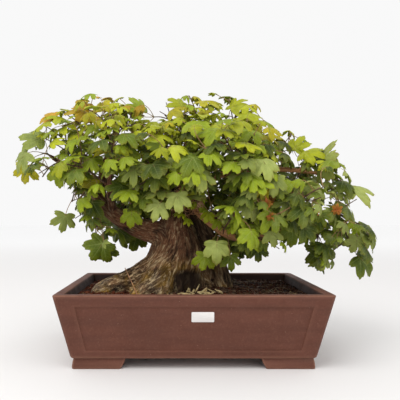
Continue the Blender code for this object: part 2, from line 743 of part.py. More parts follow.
def trunk_ring(row, extra):
    height, left, right, front, back = row
    low, high = TRUNK_OUTLINE[0][0], TRUNK_OUTLINE[-1][0]
    middle = Vector(((left + right) / 2, (front + back) / 2, height)) * MM
    if height == low:
        middle.z -= extra
    lowness = 1 - (height - low) / (high - low)
    points = []
    for step in range(TRUNK_SIDES):
        turn = 2 * math.pi * step / TRUNK_SIDES
        ridges = sum(
            depth * math.cos(count * turn + count) for count, depth in zip(RIDGE_COUNTS, RIDGE_HEIGHTS)
        )
        hollow = HOLLOW_DEPTH * math.exp(-(((turn - HOLLOW_DIRECTION - 2 * math.pi) / HOLLOW_WIDTH) ** 2))
        reach = 1 + (ridges - hollow) * lowness
        wide = (right - left) / 2 * MM * reach + extra
        deep = (back - front) / 2 * MM * reach + extra
        points.append(middle + Vector((wide * math.cos(turn), deep * math.sin(turn), 0)))
    return points


def trunk_base_shapes(extra=0.0):
    """The main trunk, its roots and the second trunk, made thicker by extra for the hole in the soil."""
    shapes = [tube([trunk_ring(row, extra) for row in TRUNK_OUTLINE])]
    shapes += [tapered_tube(points, ROOT_SIDES, extra) for points in ROOTS]
    shapes.append(tapered_tube(BRANCHES["second_trunk"], MAIN_BRANCH_SIDES, extra))
    return shapes


def wood_shapes():
    branches = [
        tapered_tube(points, MAIN_BRANCH_SIDES if name in MAIN_BRANCHES else THIN_BRANCH_SIDES)
        for name, points in BRANCHES.items()
        if name != "second_trunk"
    ]
    return trunk_base_shapes() + branches


# Pot, soil and what lies in them


# Corners of a rectangle in order round it, as right or left and back or front
RECTANGLE = ((1, 1), (-1, 1), (-1, -1), (1, -1))


def rounded_loop(width, depth, height, radius, long_spans=1, short_spans=1):
    """A rectangle with round corners, with its straight sides split into spans."""
    points = []
    for corner, (right, back) in enumerate(RECTANGLE):
        middle = Vector((right * (width / 2 - radius), back * (depth / 2 - radius), height))
        for step in range(CORNER_STEPS + 1):
            turn = (corner + step / CORNER_STEPS) * math.pi / 2
            points.append(middle + Vector((math.cos(turn), math.sin(turn), 0)) * radius)
        spans = long_spans if corner % 2 == 0 else short_spans
        after = (corner + 1) * math.pi / 2
        turned = Vector((-right if corner % 2 == 0 else right, back if corner % 2 == 0 else -back, 0))
        start = points[-1]
        end = Vector((turned.x * (width / 2 - radius), turned.y * (depth / 2 - radius), height))
        end += Vector((math.cos(after), math.sin(after), 0)) * radius
        points += [start.lerp(end, step / spans) for step in range(1, spans)]
    return points


def wall_size(height, inset=0.0):
    """The pot's width and depth between its walls at a height, measured inset from the outside."""
    lean = 2 * (POT_HEIGHT - height) * WALL_LEAN + 2 * inset
    return RIM_WIDTH - lean, RIM_DEPTH - lean


def pot_body():
    inner_radius = CORNER_RADIUS / 2
    loops = [
        rounded_loop(*wall_size(FOOT_HEIGHT, BASE_ROUNDING), FOOT_HEIGHT, CORNER_RADIUS),
        rounded_loop(*wall_size(FOOT_HEIGHT + BASE_ROUNDING), FOOT_HEIGHT + BASE_ROUNDING, CORNER_RADIUS),
        rounded_loop(*wall_size(POT_HEIGHT - RIM_ROUNDING), POT_HEIGHT - RIM_ROUNDING, CORNER_RADIUS),
        rounded_loop(*wall_size(POT_HEIGHT, RIM_ROUNDING), POT_HEIGHT, CORNER_RADIUS),
        rounded_loop(*wall_size(POT_HEIGHT, WALL_THICKNESS), POT_HEIGHT, inner_radius),
        rounded_loop(*wall_size(FLOOR_TOP, WALL_THICKNESS), FLOOR_TOP, inner_radius),
    ]
    corners, faces = tube(loops, split=False)
    sides = len(loops[0])
    for wall in range(4):
        left, right = wall * (CORNER_STEPS + 1) + CORNER_STEPS, (wall + 1) * (CORNER_STEPS + 1) % sides
        low, high = sides, 2 * sides
        outline = [low + left, low + right, high + right, high + left]
        faces.remove(tuple(outline))
        corners, faces = with_panel(corners, faces, outline)
    return corners, faces


def with_panel(corners, faces, outline):
    """Puts a recessed panel in the wall face with this outline, given from its low left corner round."""
    low_left, low_right, high_right, high_left = (corners[index] for index in outline)
    outward = (low_right - low_left).cross(high_left - low_left).normalized()
    if outward.dot(low_left - Vector((0, 0, low_left.z))) < 0:
        outward = -outward
    width = (low_right - low_left).length
    height = (high_left - low_left).length

    def on_wall(across, up):
        return low_left.lerp(low_right, across).lerp(high_left.lerp(high_right, across), up)

    def frame(step):
        aside = (PANEL_SIDE_MARGIN + step) / width
        bottom = (PANEL_BOTTOM_MARGIN + step) / height
        top = 1 - (PANEL_TOP_MARGIN + step) / height
        spots = ((aside, bottom), (1 - aside, bottom), (1 - aside, top), (aside, top))
        return [on_wall(*spot) for spot in spots]

    first = len(corners)
    corners = corners + frame(0) + [spot - outward * PANEL_DEPTH for spot in frame(PANEL_STEP)]
    edge = [first + step for step in range(4)]
    deep = [first + 4 + step for step in range(4)]
    for step in range(4):
        after = (step + 1) % 4
        faces.append((outline[step], outline[after], edge[after], edge[step]))
        faces.append((edge[step], edge[after], deep[after], deep[step]))
    faces.append(tuple(deep))
    return corners, faces


def foot_shape(right, back):
    """An L under one corner of the pot, with slanted ends and a slightly flared base."""
    width, depth = wall_size(FOOT_HEIGHT, BASE_ROUNDING)
    loops = []
    for height, slant, flare in ((0, FOOT_SLANT, FOOT_FLARE), (FOOT_HEIGHT + FOOT_OVERLAP, 0, 0)):
        long_end, short_end = FOOT_LONG_WING - slant, FOOT_SHORT_WING - slant
        outline = (
            (FOOT_CHAMFER, -flare), (long_end, -flare), (long_end, FOOT_THICKNESS),
            (FOOT_THICKNESS, FOOT_THICKNESS), (FOOT_THICKNESS, short_end), (-flare, short_end),
            (-flare, FOOT_CHAMFER),
        )
        loops.append([
            Vector((right * (width / 2 - inward), back * (depth / 2 - sideways), height))
            for inward, sideways in outline
        ])
    return tube(loops)


def upright_cylinder(x, y, low, high, radius, sides):
    turns = [2 * math.pi * step / sides for step in range(sides)]
    loops = [
        [Vector((x + radius * math.cos(turn), y + radius * math.sin(turn), height)) for turn in turns]
        for height in (low, high)
    ]
    return tube(loops)


def drain_places():
    return {"left": -DRAIN_SPACING / 2, "right": DRAIN_SPACING / 2}


def make_pot():
    feet = [foot_shape(right, back) for right in (-1, 1) for back in (-1, 1)]
    pot = fused("pot", [pot_body(), *feet], "pot")
    holes = [
        upright_cylinder(x, 0, 0, POT_HEIGHT, DRAIN_RADIUS, DRAIN_SIDES) for x in drain_places().values()
    ]
    combine(pot, [new_object("drain_hole", hole, "pot") for hole in holes], "DIFFERENCE")
    return pot


def plate_shape(x, side, low, high):
    return tube([
        [Vector((x + right * side / 2, back * side / 2, height)) for right, back in RECTANGLE]
        for height in (low, high)
    ])


def make_drain_meshes():
    low = FLOOR_TOP + GAP
    return [
        new_object(f"drain_mesh_{side}", plate_shape(x, MESH_SIDE, low, low + MESH_THICKNESS), "drain_mesh")
        for side, x in drain_places().items()
    ]


def soil_height(x, y):
    """The soil's top: it falls a little to both ends and has small lumps."""
    fall = SOIL_FALL * (2 * x / RIM_WIDTH) ** 2
    lumps = SOIL_ROUGHNESS * noise.noise(Vector((x, y, 0)) / SOIL_NOISE_STEP)
    return SOIL_MIDDLE - fall + lumps


def make_soil():
    radius = CORNER_RADIUS / 2
    spans = (SOIL_LONG_SPANS, SOIL_SHORT_SPANS)
    low = FLOOR_TOP + GAP
    bottom = rounded_loop(*wall_size(low, WALL_THICKNESS + GAP), low, radius, *spans)
    rim = rounded_loop(*wall_size(SOIL_EDGE, WALL_THICKNESS + GAP), SOIL_EDGE, radius, *spans)
    loops = [bottom, rim]
    for share in SOIL_RINGS:
        loops.append([
            Vector((x * share, y * share, soil_height(x * share, y * share))) for x, y, _ in rim
        ])
    soil = new_object("soil", tube(loops), "soil")
    hole = fused("root_hole", trunk_base_shapes(ROOT_HOLE_GAP), "soil")
    high = low + MESH_THICKNESS + GAP
    pockets = [
        new_object("mesh_pocket", plate_shape(x, MESH_SIDE + 2 * GAP, 0, high), "soil")
        for x in drain_places().values()
    ]
    combine(soil, [hole, *pockets], "DIFFERENCE")
    keep_largest_body(soil)
    return soil


def keep_largest_body(obj):
    """Drops the loose scraps that a cut can leave."""
    bm = bmesh.new()
    bm.from_mesh(obj.data)
    bm.verts.ensure_lookup_table()
    left = set(bm.verts)
    bodies = []
    while left:
        body, front = set(), [left.pop()]
        while front:
            corner = front.pop()
            body.add(corner)
            for edge in corner.link_edges:
                other = edge.other_vert(corner)
                if other in left:
                    left.remove(other)
                    front.append(other)
        bodies.append(body)
    bodies.sort(key=len)
    for body in bodies[:-1]:
        bmesh.ops.delete(bm, geom=list(body), context="VERTS")
    bm.to_mesh(obj.data)
    bm.free()


def make_label():
    """A blank plate on the front panel, tilted as the wall is."""
    lean = math.atan(WALL_LEAN)
    _, depth = wall_size(LABEL_Z)
    outward = Vector((0, -math.cos(lean), -math.sin(lean)))
    surface = Vector((LABEL_X, -depth / 2, LABEL_Z)) - outward * PANEL_DEPTH
    up = Vector((0, -math.sin(lean), math.cos(lean)))
    loops = []
    for level in (GAP, GAP + LABEL_THICKNESS):
        middle = surface + outward * level
        loops.append([
            middle + Vector((right * LABEL_WIDTH / 2, 0, 0)) + up * (high * LABEL_HEIGHT / 2)
            for right, high in RECTANGLE
        ])
    return new_object("label", tube(loops), "label")


def leaf_finish(spray):
    """Young leaves at the top, dark ones low and at the back."""
    tip = spray.path[-1]
    if tip.z > YOUNG_LEAF_HEIGHT:
        return "leaf_young"
    return "leaf_inner" if tip.z < INNER_LEAF_HEIGHT or tip.y > INNER_LEAF_DEPTH else "leaf"


def make_tree():
    wood = wood_shapes()
    sprays = grow_stems(wood)
    collars = [spray.collar for spray in sprays]
    grow_leaves(wood + collars, sprays)
    trunk = fused("trunk", wood + collars, "trunk")
    made = [trunk]
    for spray in sprays:
        shapes = [spray.shape] + [leaf_shape(leaf) for leaf in spray.leaves]
        made.append(fused(spray.name, shapes, leaf_finish(spray)))
    return made


def centre_on_ground(objects):
    """Parents everything to one empty and moves it, so that the whole box stands centred on the origin."""
    corners = [corner.co for obj in objects for corner in obj.data.vertices]
    low = Vector([min(corner[axis] for corner in corners) for axis in range(3)])
    high = Vector([max(corner[axis] for corner in corners) for axis in range(3)])
    stand = bpy.data.objects.new("bonsai", None)
    bpy.context.scene.collection.objects.link(stand)
    stand.location = (-(low.x + high.x) / 2, -(low.y + high.y) / 2, -low.z)
    for obj in objects:
        obj.parent = stand


def main():
    for obj in list(bpy.data.objects):
        bpy.data.objects.remove(obj)
    objects = [make_pot(), *make_drain_meshes(), make_soil(), make_label(), *make_tree()]
    for obj in objects:
        obj.data.shade_smooth()
        obj.data.set_sharp_from_angle(angle=SHARP_EDGE)
    centre_on_ground(objects)


main()
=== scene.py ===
"""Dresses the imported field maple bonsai: bark, leaves, soil, a fired pot and a plain stage.

It is laid out as an add-on and run as a script. Metres, +Z up, the front faces -Y. Sizes in tables are
millimetres in the pot's own frame, with its origin on the ground under the pot's middle.
"""

import functools
import json
import math
import random
from dataclasses import dataclass, replace

import bmesh
import bpy
import numpy as np
from bpy.props import FloatProperty, FloatVectorProperty, IntProperty, PointerProperty
from mathutils import Matrix, Vector, noise
from mathutils.bvhtree import BVHTree

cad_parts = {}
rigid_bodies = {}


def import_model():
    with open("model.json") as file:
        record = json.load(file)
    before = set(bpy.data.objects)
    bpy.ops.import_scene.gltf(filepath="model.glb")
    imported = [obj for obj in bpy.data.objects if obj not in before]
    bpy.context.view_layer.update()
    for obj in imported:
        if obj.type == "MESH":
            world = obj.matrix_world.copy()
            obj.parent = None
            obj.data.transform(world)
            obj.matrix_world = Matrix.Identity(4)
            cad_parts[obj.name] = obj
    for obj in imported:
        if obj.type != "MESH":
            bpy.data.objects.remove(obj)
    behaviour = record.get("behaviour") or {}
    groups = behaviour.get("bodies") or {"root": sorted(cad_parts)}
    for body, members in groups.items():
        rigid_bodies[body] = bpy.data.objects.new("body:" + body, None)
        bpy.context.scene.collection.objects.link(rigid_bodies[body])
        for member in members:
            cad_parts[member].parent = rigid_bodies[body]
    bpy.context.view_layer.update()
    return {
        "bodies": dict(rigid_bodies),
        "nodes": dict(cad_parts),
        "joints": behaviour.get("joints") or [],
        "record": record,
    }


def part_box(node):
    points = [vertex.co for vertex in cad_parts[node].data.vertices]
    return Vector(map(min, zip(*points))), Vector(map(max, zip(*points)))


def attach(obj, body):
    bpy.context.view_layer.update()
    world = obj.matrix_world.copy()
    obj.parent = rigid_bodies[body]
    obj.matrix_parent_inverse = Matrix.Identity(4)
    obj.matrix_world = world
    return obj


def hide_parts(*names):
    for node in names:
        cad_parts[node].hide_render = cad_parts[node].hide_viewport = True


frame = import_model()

bl_info = {
    "name": "Field maple bonsai",
    "version": (1, 0, 0),
    "blender": (4, 5, 0),
    "location": "3D View > Sidebar > Bonsai",
    "description": "Dresses a bonsai and its pot with bark, leaves, soil and fired clay",
    "category": "Object",
}

MM = 0.001
GAP = 0.3 * MM
UP = Vector((0, 0, 1))
ACROSS = Vector((1, 0, 0))
NEARLY_UPRIGHT = 0.8
NEARLY_LEVEL = 0.2
POT_LOW, POT_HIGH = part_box("pot")
POT_PLACE = Vector(((POT_LOW.x + POT_HIGH.x) / 2, (POT_LOW.y + POT_HIGH.y) / 2, POT_LOW.z))

# Pot
RIM_WIDTH = 400 * MM
RIM_DEPTH = 285 * MM
POT_HEIGHT = POT_HIGH.z - POT_LOW.z
FOOT_HEIGHT = 15.5 * MM
WALL_LEAN = 22 / 94.5
WALL_THICKNESS = 14 * MM
FLOOR_TOP = 27 * MM
CORNER_RADIUS = 6 * MM
CORNER_STEPS = 6
RIM_ROUNDING = 2 * MM
INNER_ROUNDING = RIM_ROUNDING * 0.7
BASE_ROUNDING = 3 * MM
PANEL_TOP_MARGIN = 15 * MM
PANEL_BOTTOM_MARGIN = 9 * MM
PANEL_DEPTH = 1.8 * MM
PANEL_STEP = 1.1 * MM
# Where the panel begins and ends along a wall's straight side, its step's share and the even splits in it
PANEL_SHARES = (0.058, 0.942)
PANEL_STEP_SHARE = 0.0016
PANEL_SPLITS = 20
CORNER_SPLITS = (0.02, 0.04)
# Loops of points below, on and above the panel, and down the inner wall
WALL_LOOPS = (4, 12, 5, 8)
# How much of a side the rounding of one corner may take up
MOST_ROUNDED = 0.45
FOOT_LONG_WING = 77 * MM
FOOT_SHORT_WING = 55 * MM
FOOT_THICKNESS = 14 * MM
FOOT_SLANT = 7 * MM
FOOT_FLARE = 1 * MM
FOOT_ROUNDING = 3 * MM
FOOT_OVERLAP = 3 * MM
# The feet's form: height, how far the wings' ends slant in and how far the outside flares
FOOT_PROFILE = (
    (0, FOOT_SLANT + 0.8 * MM, FOOT_FLARE - 1.0 * MM), (0.8 * MM, FOOT_SLANT, FOOT_FLARE),
    (4 * MM, FOOT_SLANT * 0.72, FOOT_FLARE * 1.1), (9 * MM, FOOT_SLANT * 0.35, FOOT_FLARE * 0.6),
    (FOOT_HEIGHT - 1 * MM, FOOT_SLANT * 0.1, -0.6 * MM), (FOOT_HEIGHT + FOOT_OVERLAP, 0, -1.2 * MM),
)
DRAIN_SPACING = 170 * MM
DRAIN_RADIUS = 10 * MM
DRAIN_SIDES = 32
# Bends at which an edge starts to look worn and is fully worn, and how light the wall's own edges get: partly
# worn clay, partly painted highlight lines
WEAR_BENDS = (math.radians(9), math.radians(26))
WALL_WEAR_AND_HIGHLIGHT = 0.24
# What counts as the inner wall, in shares of its thickness, and how far down its damp colour sets in
DAMP_INSET = 0.6
DAMP_FADE = 3 * MM
# The size of the walls' uneven swells
UNEVEN_STEP = 60 * MM

# Soil and label
SOIL_EDGE = 98.5 * MM
SOIL_MIDDLE = 99.1 * MM
SOIL_FALL = 3 * MM
SOIL_ROUGHNESS = 1.5 * MM
SOIL_NOISE_STEP = 21 * MM
LABEL_WIDTH = 32 * MM
LABEL_HEIGHT = 15 * MM
LABEL_THICKNESS = 0.7 * MM
LABEL_ROUNDING = 1.6 * MM
LABEL_BEVEL = 0.15 * MM
LABEL_X = 12.5 * MM
LABEL_Z = 78 * MM

# Trunk: height, left and right side, front and back side
TRUNK_OUTLINE = (
    (66, -112, 24, -58, 50), (98, -114, 25, -58, 50), (109, -108, 24, -53, 47), (124, -94, 21, -46, 42),
    (144, -80, 16, -40, 38), (168, -68, 13, -35, 34), (190, -61, 5, -30, 29), (210, -54, -7, -24, 23),
    (226, -47, -13, -17, 17),
)
TRUNK_SIDES = 16
RIDGE_COUNTS = (5, 9)
RIDGE_HEIGHTS = (0.07, 0.05)
HOLLOW_DIRECTION = math.radians(-48)
HOLLOW_WIDTH = math.radians(28)
HOLLOW_DEPTH = 0.36
ROOT_SIDES = 7
ROOTS = (
    ((-55, -6, 128, 32), (-92, -14, 113, 25), (-126, -20, 105, 19), (-150, -24, 98, 13), (-160, -26, 88, 8)),
    ((-42, -24, 136, 24), (-64, -46, 113, 19), (-86, -64, 97, 12), (-98, -74, 86, 8)),
    ((-34, -22, 136, 21), (-40, -45, 110, 16), (-50, -64, 92, 9)),
    ((-2, 8, 128, 17), (24, 20, 105, 12), (40, 26, 88, 9)),
    ((-42, 20, 128, 22), (-60, 50, 106, 15), (-76, 76, 90, 8)),
)

# Branches: x, y, z and radius along each
MAIN_BRANCH_SIDES = 7
THIN_BRANCH_SIDES = 5
MAIN_BRANCHES = ("second_trunk", "left", "top")
BRANCHES = {
    "second_trunk": (
        (66, 26, 72, 19), (60, 26, 92, 17), (48, 27, 131, 16), (33, 27, 173, 15.5), (17, 28, 206, 15),
        (5, 30, 240, 12), (13, 32, 282, 8), (38, 31, 325, 5.5), (62, 28, 362, 4),
    ),
    "left": (
        (-32, 0, 186, 26), (-60, -4, 194, 20), (-90, -8, 203, 17), (-130, -10, 226, 13),
        (-152, -8, 249, 10.5), (-176, -6, 276, 8), (-204, -6, 300, 5.5), (-228, -9, 317, 3.5),
    ),
    "left_rise": ((-150, -8, 247, 8), (-150, 4, 290, 6.5), (-138, 10, 332, 5), (-128, 14, 362, 3.5)),
    "left_front": ((-128, -10, 225, 7), (-130, -45, 252, 5.5), (-126, -80, 276, 4)),
    "left_back": ((-148, -8, 246, 7), (-152, 36, 274, 5.5), (-144, 84, 298, 4)),
    "top": ((-31, 0, 212, 13), (-27, 4, 250, 9.5), (-18, 8, 295, 7.5), (-8, 8, 340, 5.5), (0, 6, 372, 3.5)),
    "front": ((-28, 0, 234, 7), (-20, -34, 256, 5.5), (-12, -72, 270, 4)),
    "right": (
        (10, 26, 238, 7), (10, 2, 232, 7.5), (34, -12, 209, 7.2), (66, -14, 188, 6.6), (105, -10, 184, 6),
        (150, -6, 196, 5), (192, -6, 212, 4.2), (228, -10, 224, 3.2),
    ),
    "right_front": ((146, -6, 195, 5), (156, -44, 214, 4.2), (166, -78, 232, 3.2)),
    "right_high": (
        (14, 32, 276, 7), (58, 28, 294, 6), (118, 20, 302, 5), (172, 14, 300, 4), (214, 8, 294, 3),
    ),
    "right_high_front": ((60, 28, 294, 5), (72, -14, 306, 4.2), (80, -54, 306, 3.2)),
    "right_high_back": ((112, 20, 301, 5), (130, 58, 308, 4), (144, 92, 308, 3)),
    "back_left": ((-36, 6, 214, 10), (-54, 44, 236, 7), (-70, 86, 262, 5), (-82, 118, 280, 3.5)),
    "back_right": ((22, 30, 202, 8), (56, 58, 226, 6), (100, 84, 246, 4.5), (136, 104, 258, 3.5)),
}

# Leafy sprays: branch, how far along it, the stem tip and how much the stem arches upwards
SPRAY_SIDES = 4
SPRAY_SPANS = 3
SPRAY_BASE_RADIUS = 2.2 * MM
SPRAY_TIP_RADIUS = 1.5 * MM
COLLAR_LENGTH = 7 * MM
LONGEST_COLLAR_SHARE = 0.6
STEM_BENDS = (0, 0.1, -0.1, 0.2, 0.3, -0.2, 0.4, -0.3)
SPRAYS = {
    "left": (
        ("left", 1.0, (-244, -14, 325), 0.1), ("left", 0.86, (-215, 6, 368), 0.05),
        ("left", 0.7, (-176, -6, 378), 0.0), ("left_rise", 0.8, (-150, -2, 388), 0.05),
        ("left_rise", 0.98, (-98, 14, 376), 0.15), ("left", 0.92, (-232, -62, 284), 0.15),
        ("left", 0.76, (-188, -56, 246), 0.2), ("left", 0.56, (-150, -46, 204), 0.2),
        ("left", 0.44, (-112, 36, 214), 0.25), ("left_front", 0.75, (-182, -108, 296), 0.1),
        ("left_front", 1.0, (-118, -116, 322), 0.0), ("left_front", 0.62, (-92, -92, 254), 0.15),
        ("left_back", 0.72, (-200, 80, 334), 0.05), ("left_back", 1.0, (-132, 134, 334), 0.1),
        ("left_back", 0.6, (-196, 86, 262), 0.15),
    ),
    "middle": (
        ("top", 0.85, (-42, -16, 386), 0.0), ("top", 1.0, (14, 16, 396), 0.0),
        ("top", 0.58, (-62, -72, 340), 0.1), ("front", 0.7, (-62, -112, 290), 0.1),
        ("front", 1.0, (6, -128, 298), 0.05), ("front", 0.85, (-34, -104, 250), 0.1),
        ("top", 0.72, (22, -66, 356), 0.05), ("top", 0.66, (-46, 84, 368), 0.1),
        ("back_left", 1.0, (-48, 158, 308), 0.1), ("back_left", 0.75, (6, 128, 352), 0.1),
        ("back_left", 0.85, (-108, 146, 252), 0.1),
    ),
    "right": (
        ("second_trunk", 1.0, (76, 6, 392), 0.0), ("second_trunk", 0.94, (104, 36, 368), 0.1),
        ("right_high_front", 0.7, (98, -74, 340), 0.0), ("right_high", 0.6, (150, 12, 336), 0.05),
        ("right_high", 0.86, (200, 0, 318), 0.05), ("right_high", 1.0, (246, -12, 280), 0.1),
        ("right", 0.9, (240, -52, 232), 0.1), ("right", 1.0, (276, -4, 206), 0.15),
        ("right", 0.94, (262, -18, 170), 0.3), ("right", 0.8, (206, -34, 186), 0.2),
        ("right", 0.46, (98, -76, 184), 0.2), ("right", 0.34, (46, -84, 196), 0.25),
        ("right_front", 1.0, (160, -116, 250), 0.0), ("right_high_front", 1.0, (98, -122, 280), 0.1),
        ("right_high_front", 0.5, (54, -112, 318), 0.1), ("right_high_back", 0.8, (158, 112, 326), 0.05),
        ("right_high_back", 0.98, (204, 88, 282), 0.1), ("right_high_back", 0.6, (88, 140, 326), 0.1),
        ("back_right", 1.0, (124, 152, 256), 0.1), ("back_right", 0.86, (192, 76, 220), 0.15),
        ("right", 0.52, (104, 44, 184), 0.25),
    ),
}

# Leaf places, as the frame's leaves have them
LEAF_OUTLINE = ((9, 0.98), (27, 0.45), (38, 0.89), (61, 0.93), (80, 0.43), (105, 0.67), (156, 0.15))
LEAF_LENGTH = 33 * MM
LEAF_SIZES = (0.8, 1.1)
LEAF_DROOP = (0.08, 0.38)
LEAF_FOLD = (-0.02, 0.22)
LEAF_WAVE = 0.10
LEAF_THICKNESS = 0.8 * MM
LEAF_GAP = 0.7 * MM
LEAF_REACH = 2.6
PETIOLE_RADIUS = 0.85 * MM
PETIOLE_LENGTHS = (17 * MM, 29 * MM)
STALK_CLEAR_OF_STEM = 0.16
STALK_AIM = (0.8, 0.5, 0.35)
SHARPEST_BEND = math.radians(58)
TURN_SPREAD = 20
JITTER = 0.20
JITTER_PER_TRY = 0.035
# How a blade's direction is mixed: onward from its stalk, outward, and downward within a range
HUNG_ONWARD = 0.6
HUNG_OUTWARD = 0.15
HANG = (0.25, 0.75)
FACING = Vector((0, -0.08, 0.7))
OUTWARD_FACING = (0.2, 0.85)
LEAF_PAIRS = (0.96, 0.66, 0.36)
LEAF_TRIES = 16
SHOWN_ROOT_SHARES = (0.3, 0.4, 0.5, 0.6, 0.7, 0.8, 0.95)
SHOWN_FACING = Vector((0, -1, 0.25))
ROOT_NEARNESS = 8 / (1000 * MM)
LONG_STEM = 56 * MM
LOWEST_LEAF = 117 * MM
CROWN_MIDDLE = Vector((0, 50, 235)) * MM
CROWN_RADII = Vector((320, 190, 200)) * MM
CROWN_REACH = 1.12
VIEWING_PLACE = Vector((-26, -832, 219)) * MM
CROWN_OUTLINE = (
    (-311, 282), (-312, 311), (-296, 328), (-289, 351), (-267, 368), (-263, 396), (-226, 399), (-222, 420),
    (-195, 427), (-178, 433), (-158, 426), (-141, 432), (-107, 431), (-86, 417), (-67, 396), (-59, 385),
    (-47, 405), (-35, 428), (-8, 428), (23, 434), (57, 426), (89, 427), (108, 411), (134, 400), (140, 381),
    (150, 375), (182, 366), (205, 349), (230, 337), (253, 318), (268, 302), (269, 283), (335, 280),
    (335, 261), (276, 256), (276, 227), (303, 204), (331, 181), (314, 160), (325, 120), (297, 122),
    (275, 145), (267, 168), (247, 168), (247, 124), (209, 124), (188, 151), (185, 166), (168, 160),
    (141, 164), (116, 152), (93, 147), (70, 126), (15, 125), (3, 160), (-3, 211), (-66, 211), (-83, 194),
    (-86, 160), (-111, 160), (-134, 186), (-132, 128), (-183, 126), (-188, 160), (-157, 187), (-188, 196),
    (-204, 240), (-195, 259), (-224, 270), (-242, 285), (-271, 296), (-281, 269), (-305, 270),
)

# Wood that shows between the leaves, outlined in the same way: the left branch, and the foot of the right one
BARE_WOOD_DEPTH = -5 * MM
BARE_WOOD = (
    (
        (-158, 253), (-140, 248), (-123, 233), (-82, 221), (-69, 225), (-69, 181), (-86, 184), (-108, 196),
        (-133, 211), (-153, 235),
    ),
    ((-19, 246), (28, 250), (39, 213), (72, 189), (59, 179), (23, 198), (-15, 213)),
)

# Leaves that show best: the spray, the blade's base, turn, lean, roll and length, and the tone
# A dark tone there is partly painted shade, and a grey one a dark leaf with painted sheen
SHOWN_LEAVES = (
    ("left_1", (-247, -18, 349), -143, 0, 34, 38, "grey"),
    ("left_1", (-268, -36, 320), -137, 0, 28, 40, "grey"),
    ("left_1", (-276, -4, 303), -99, 0, -10, 30, "yellow"),
    ("left_2", (-231, 6, 391), -156, 5, 32, 33, "orange"),
    ("left_3", (-184, 0, 404), 70, -12, 0, 25, "orange"),
    ("left_3", (-171, -22, 390), -171, 5, 52, 36, "orange"),
    ("left_4", (-145, 0, 402), 84, -15, 0, 27, "yellow"),
    ("left_5", (-83, 4, 400), 160, 0, 38, 36, "fresh"),
    ("left_6", (-209, -52, 293), -95, 10, 0, 28, "fresh"),
    ("left_7", (-198, -60, 221), -97, 10, -30, 30, "grey"),
    ("left_7", (-158, -46, 243), -132, 5, 10, 32, "dark"),
    ("left_8", (-141, -54, 178), -123, 10, -15, 39, "middle"),
    ("left_8", (-138, -32, 168), -78, 0, 0, 28, "dark"),
    ("left_9", (-125, 20, 199), -84, 0, 42, 38, "dark"),
    ("left_9", (-94, 34, 188), -112, 5, -25, 34, "dark"),
    ("left_10", (-158, -66, 274), -92, 15, 0, 25, "yellow"),
    ("left_11", (-126, -92, 320), 163, 5, 50, 32, "yellow"),
    ("left_12", (-94, -64, 226), -98, 15, 0, 26, "fresh"),
    ("left_12", (-106, -100, 266), -112, 10, 0, 29, "dark"),
    ("middle_6", (-50, -108, 238), -112, 20, 0, 28, "pale"),
    ("middle_6", (-24, -116, 252), -82, 25, 0, 28, "pale"),
    ("middle_1", (-16, -2, 408), 165, -5, 35, 29, "young"),
    ("middle_2", (32, 20, 412), 25, -5, -45, 30, "young"),
    ("right_1", (68, -8, 402), 40, -10, -40, 31, "young"),
    ("right_1", (87, 4, 394), 35, 0, -35, 27, "young"),
    ("right_2", (99, 40, 395), -10, 0, -42, 42, "yellow"),
    ("right_5", (176, 6, 336), 22, 0, -35, 30, "young"),
    ("right_5", (186, -18, 326), -6, 0, -45, 38, "young"),
    ("right_6", (209, -16, 308), -10, 0, -42, 48, "pale"),
    ("right_6", (261, -16, 271), 1, 0, -48, 52, "pale"),
    ("right_7", (202, -50, 261), -104, 10, 0, 25, "pale"),
    ("right_8", (282, -14, 198), -26, 5, -30, 36, "grey"),
    ("right_9", (264, -42, 184), -112, 5, 0, 27, "pale"),
    ("right_9", (278, -16, 153), -42, 8, -20, 40, "dark"),
    ("right_10", (210, -30, 169), -80, 5, 0, 40, "dark"),
    ("right_13", (153, -74, 204), -90, 10, 0, 30, "middle"),
    ("right_11", (93, -78, 207), -95, 15, 0, 26, "fresh"),
    ("right_11", (119, -82, 196), -91, 15, 0, 24, "pale"),
    ("right_11", (102, -60, 172), -85, 10, 0, 28, "dark"),
    ("right_12", (36, -88, 180), -90, 30, 0, 32, "pale"),
    ("right_12", (20, -74, 160), -106, 20, 0, 27, "fresh"),
    ("right_12", (59, -68, 159), -85, 20, 0, 25, "middle"),
    ("right_14", (100, -118, 267), 188, 12, 10, 29, "yellow"),
    ("right_14", (114, -128, 275), -92, 25, 0, 28, "grey"),
)

# Leaf form for the finer blades: half of the outline as an angle and a distance in leaf lengths
FINE_OUTLINE = (
    (0, 1.0), (5, 0.93), (8, 0.86), (13, 0.88), (17, 0.80), (21, 0.64), (24.5, 0.50), (27, 0.45), (30, 0.58),
    (34, 0.74), (38, 0.84), (42, 0.80), (47, 0.92), (52, 0.98), (57, 0.87), (62, 0.88), (67, 0.76),
    (73, 0.58), (80, 0.43), (87, 0.52), (95, 0.63), (100, 0.60), (105, 0.67), (113, 0.60), (126, 0.42),
    (142, 0.26), (156, 0.15),
)
PLAIN_OUTLINE = (
    (0, 1.0), (8, 0.86), (14, 0.88), (21, 0.64), (27, 0.45), (34, 0.74), (42, 0.81), (52, 0.98), (62, 0.88),
    (73, 0.58), (80, 0.43), (92, 0.60), (105, 0.67), (126, 0.42), (156, 0.15),
)
# How far a leaf's tone shifts to the usual one, how bright it is, and how scorched its edge
TONE_SHIFTS = (0, 0.3)
TONE_BRIGHTNESS = (0.82, 1.25)
SCORCH = (0, 0.5)
MORE_SCORCH = 0.3
MAIN_VEINS = (0, 48, -48, 105, -105)
FINE_RINGS = (0.4, 0.75, 1.0)
PLAIN_RINGS = (0.6, 1.0)
FINE_THICKNESS = 0.4 * MM
SMALL_LEAF = 24 * MM
STALK_RADIUS = 0.55 * MM
STALK_SIDES = 5
STALK_SPANS = 4
STEM_RADII = (1.5 * MM, 0.85 * MM)
STEM_SIDES = 7
STEM_STEPS = 5
NODE_REACH = 2.2 * MM
NODE_SWELL = 0.4
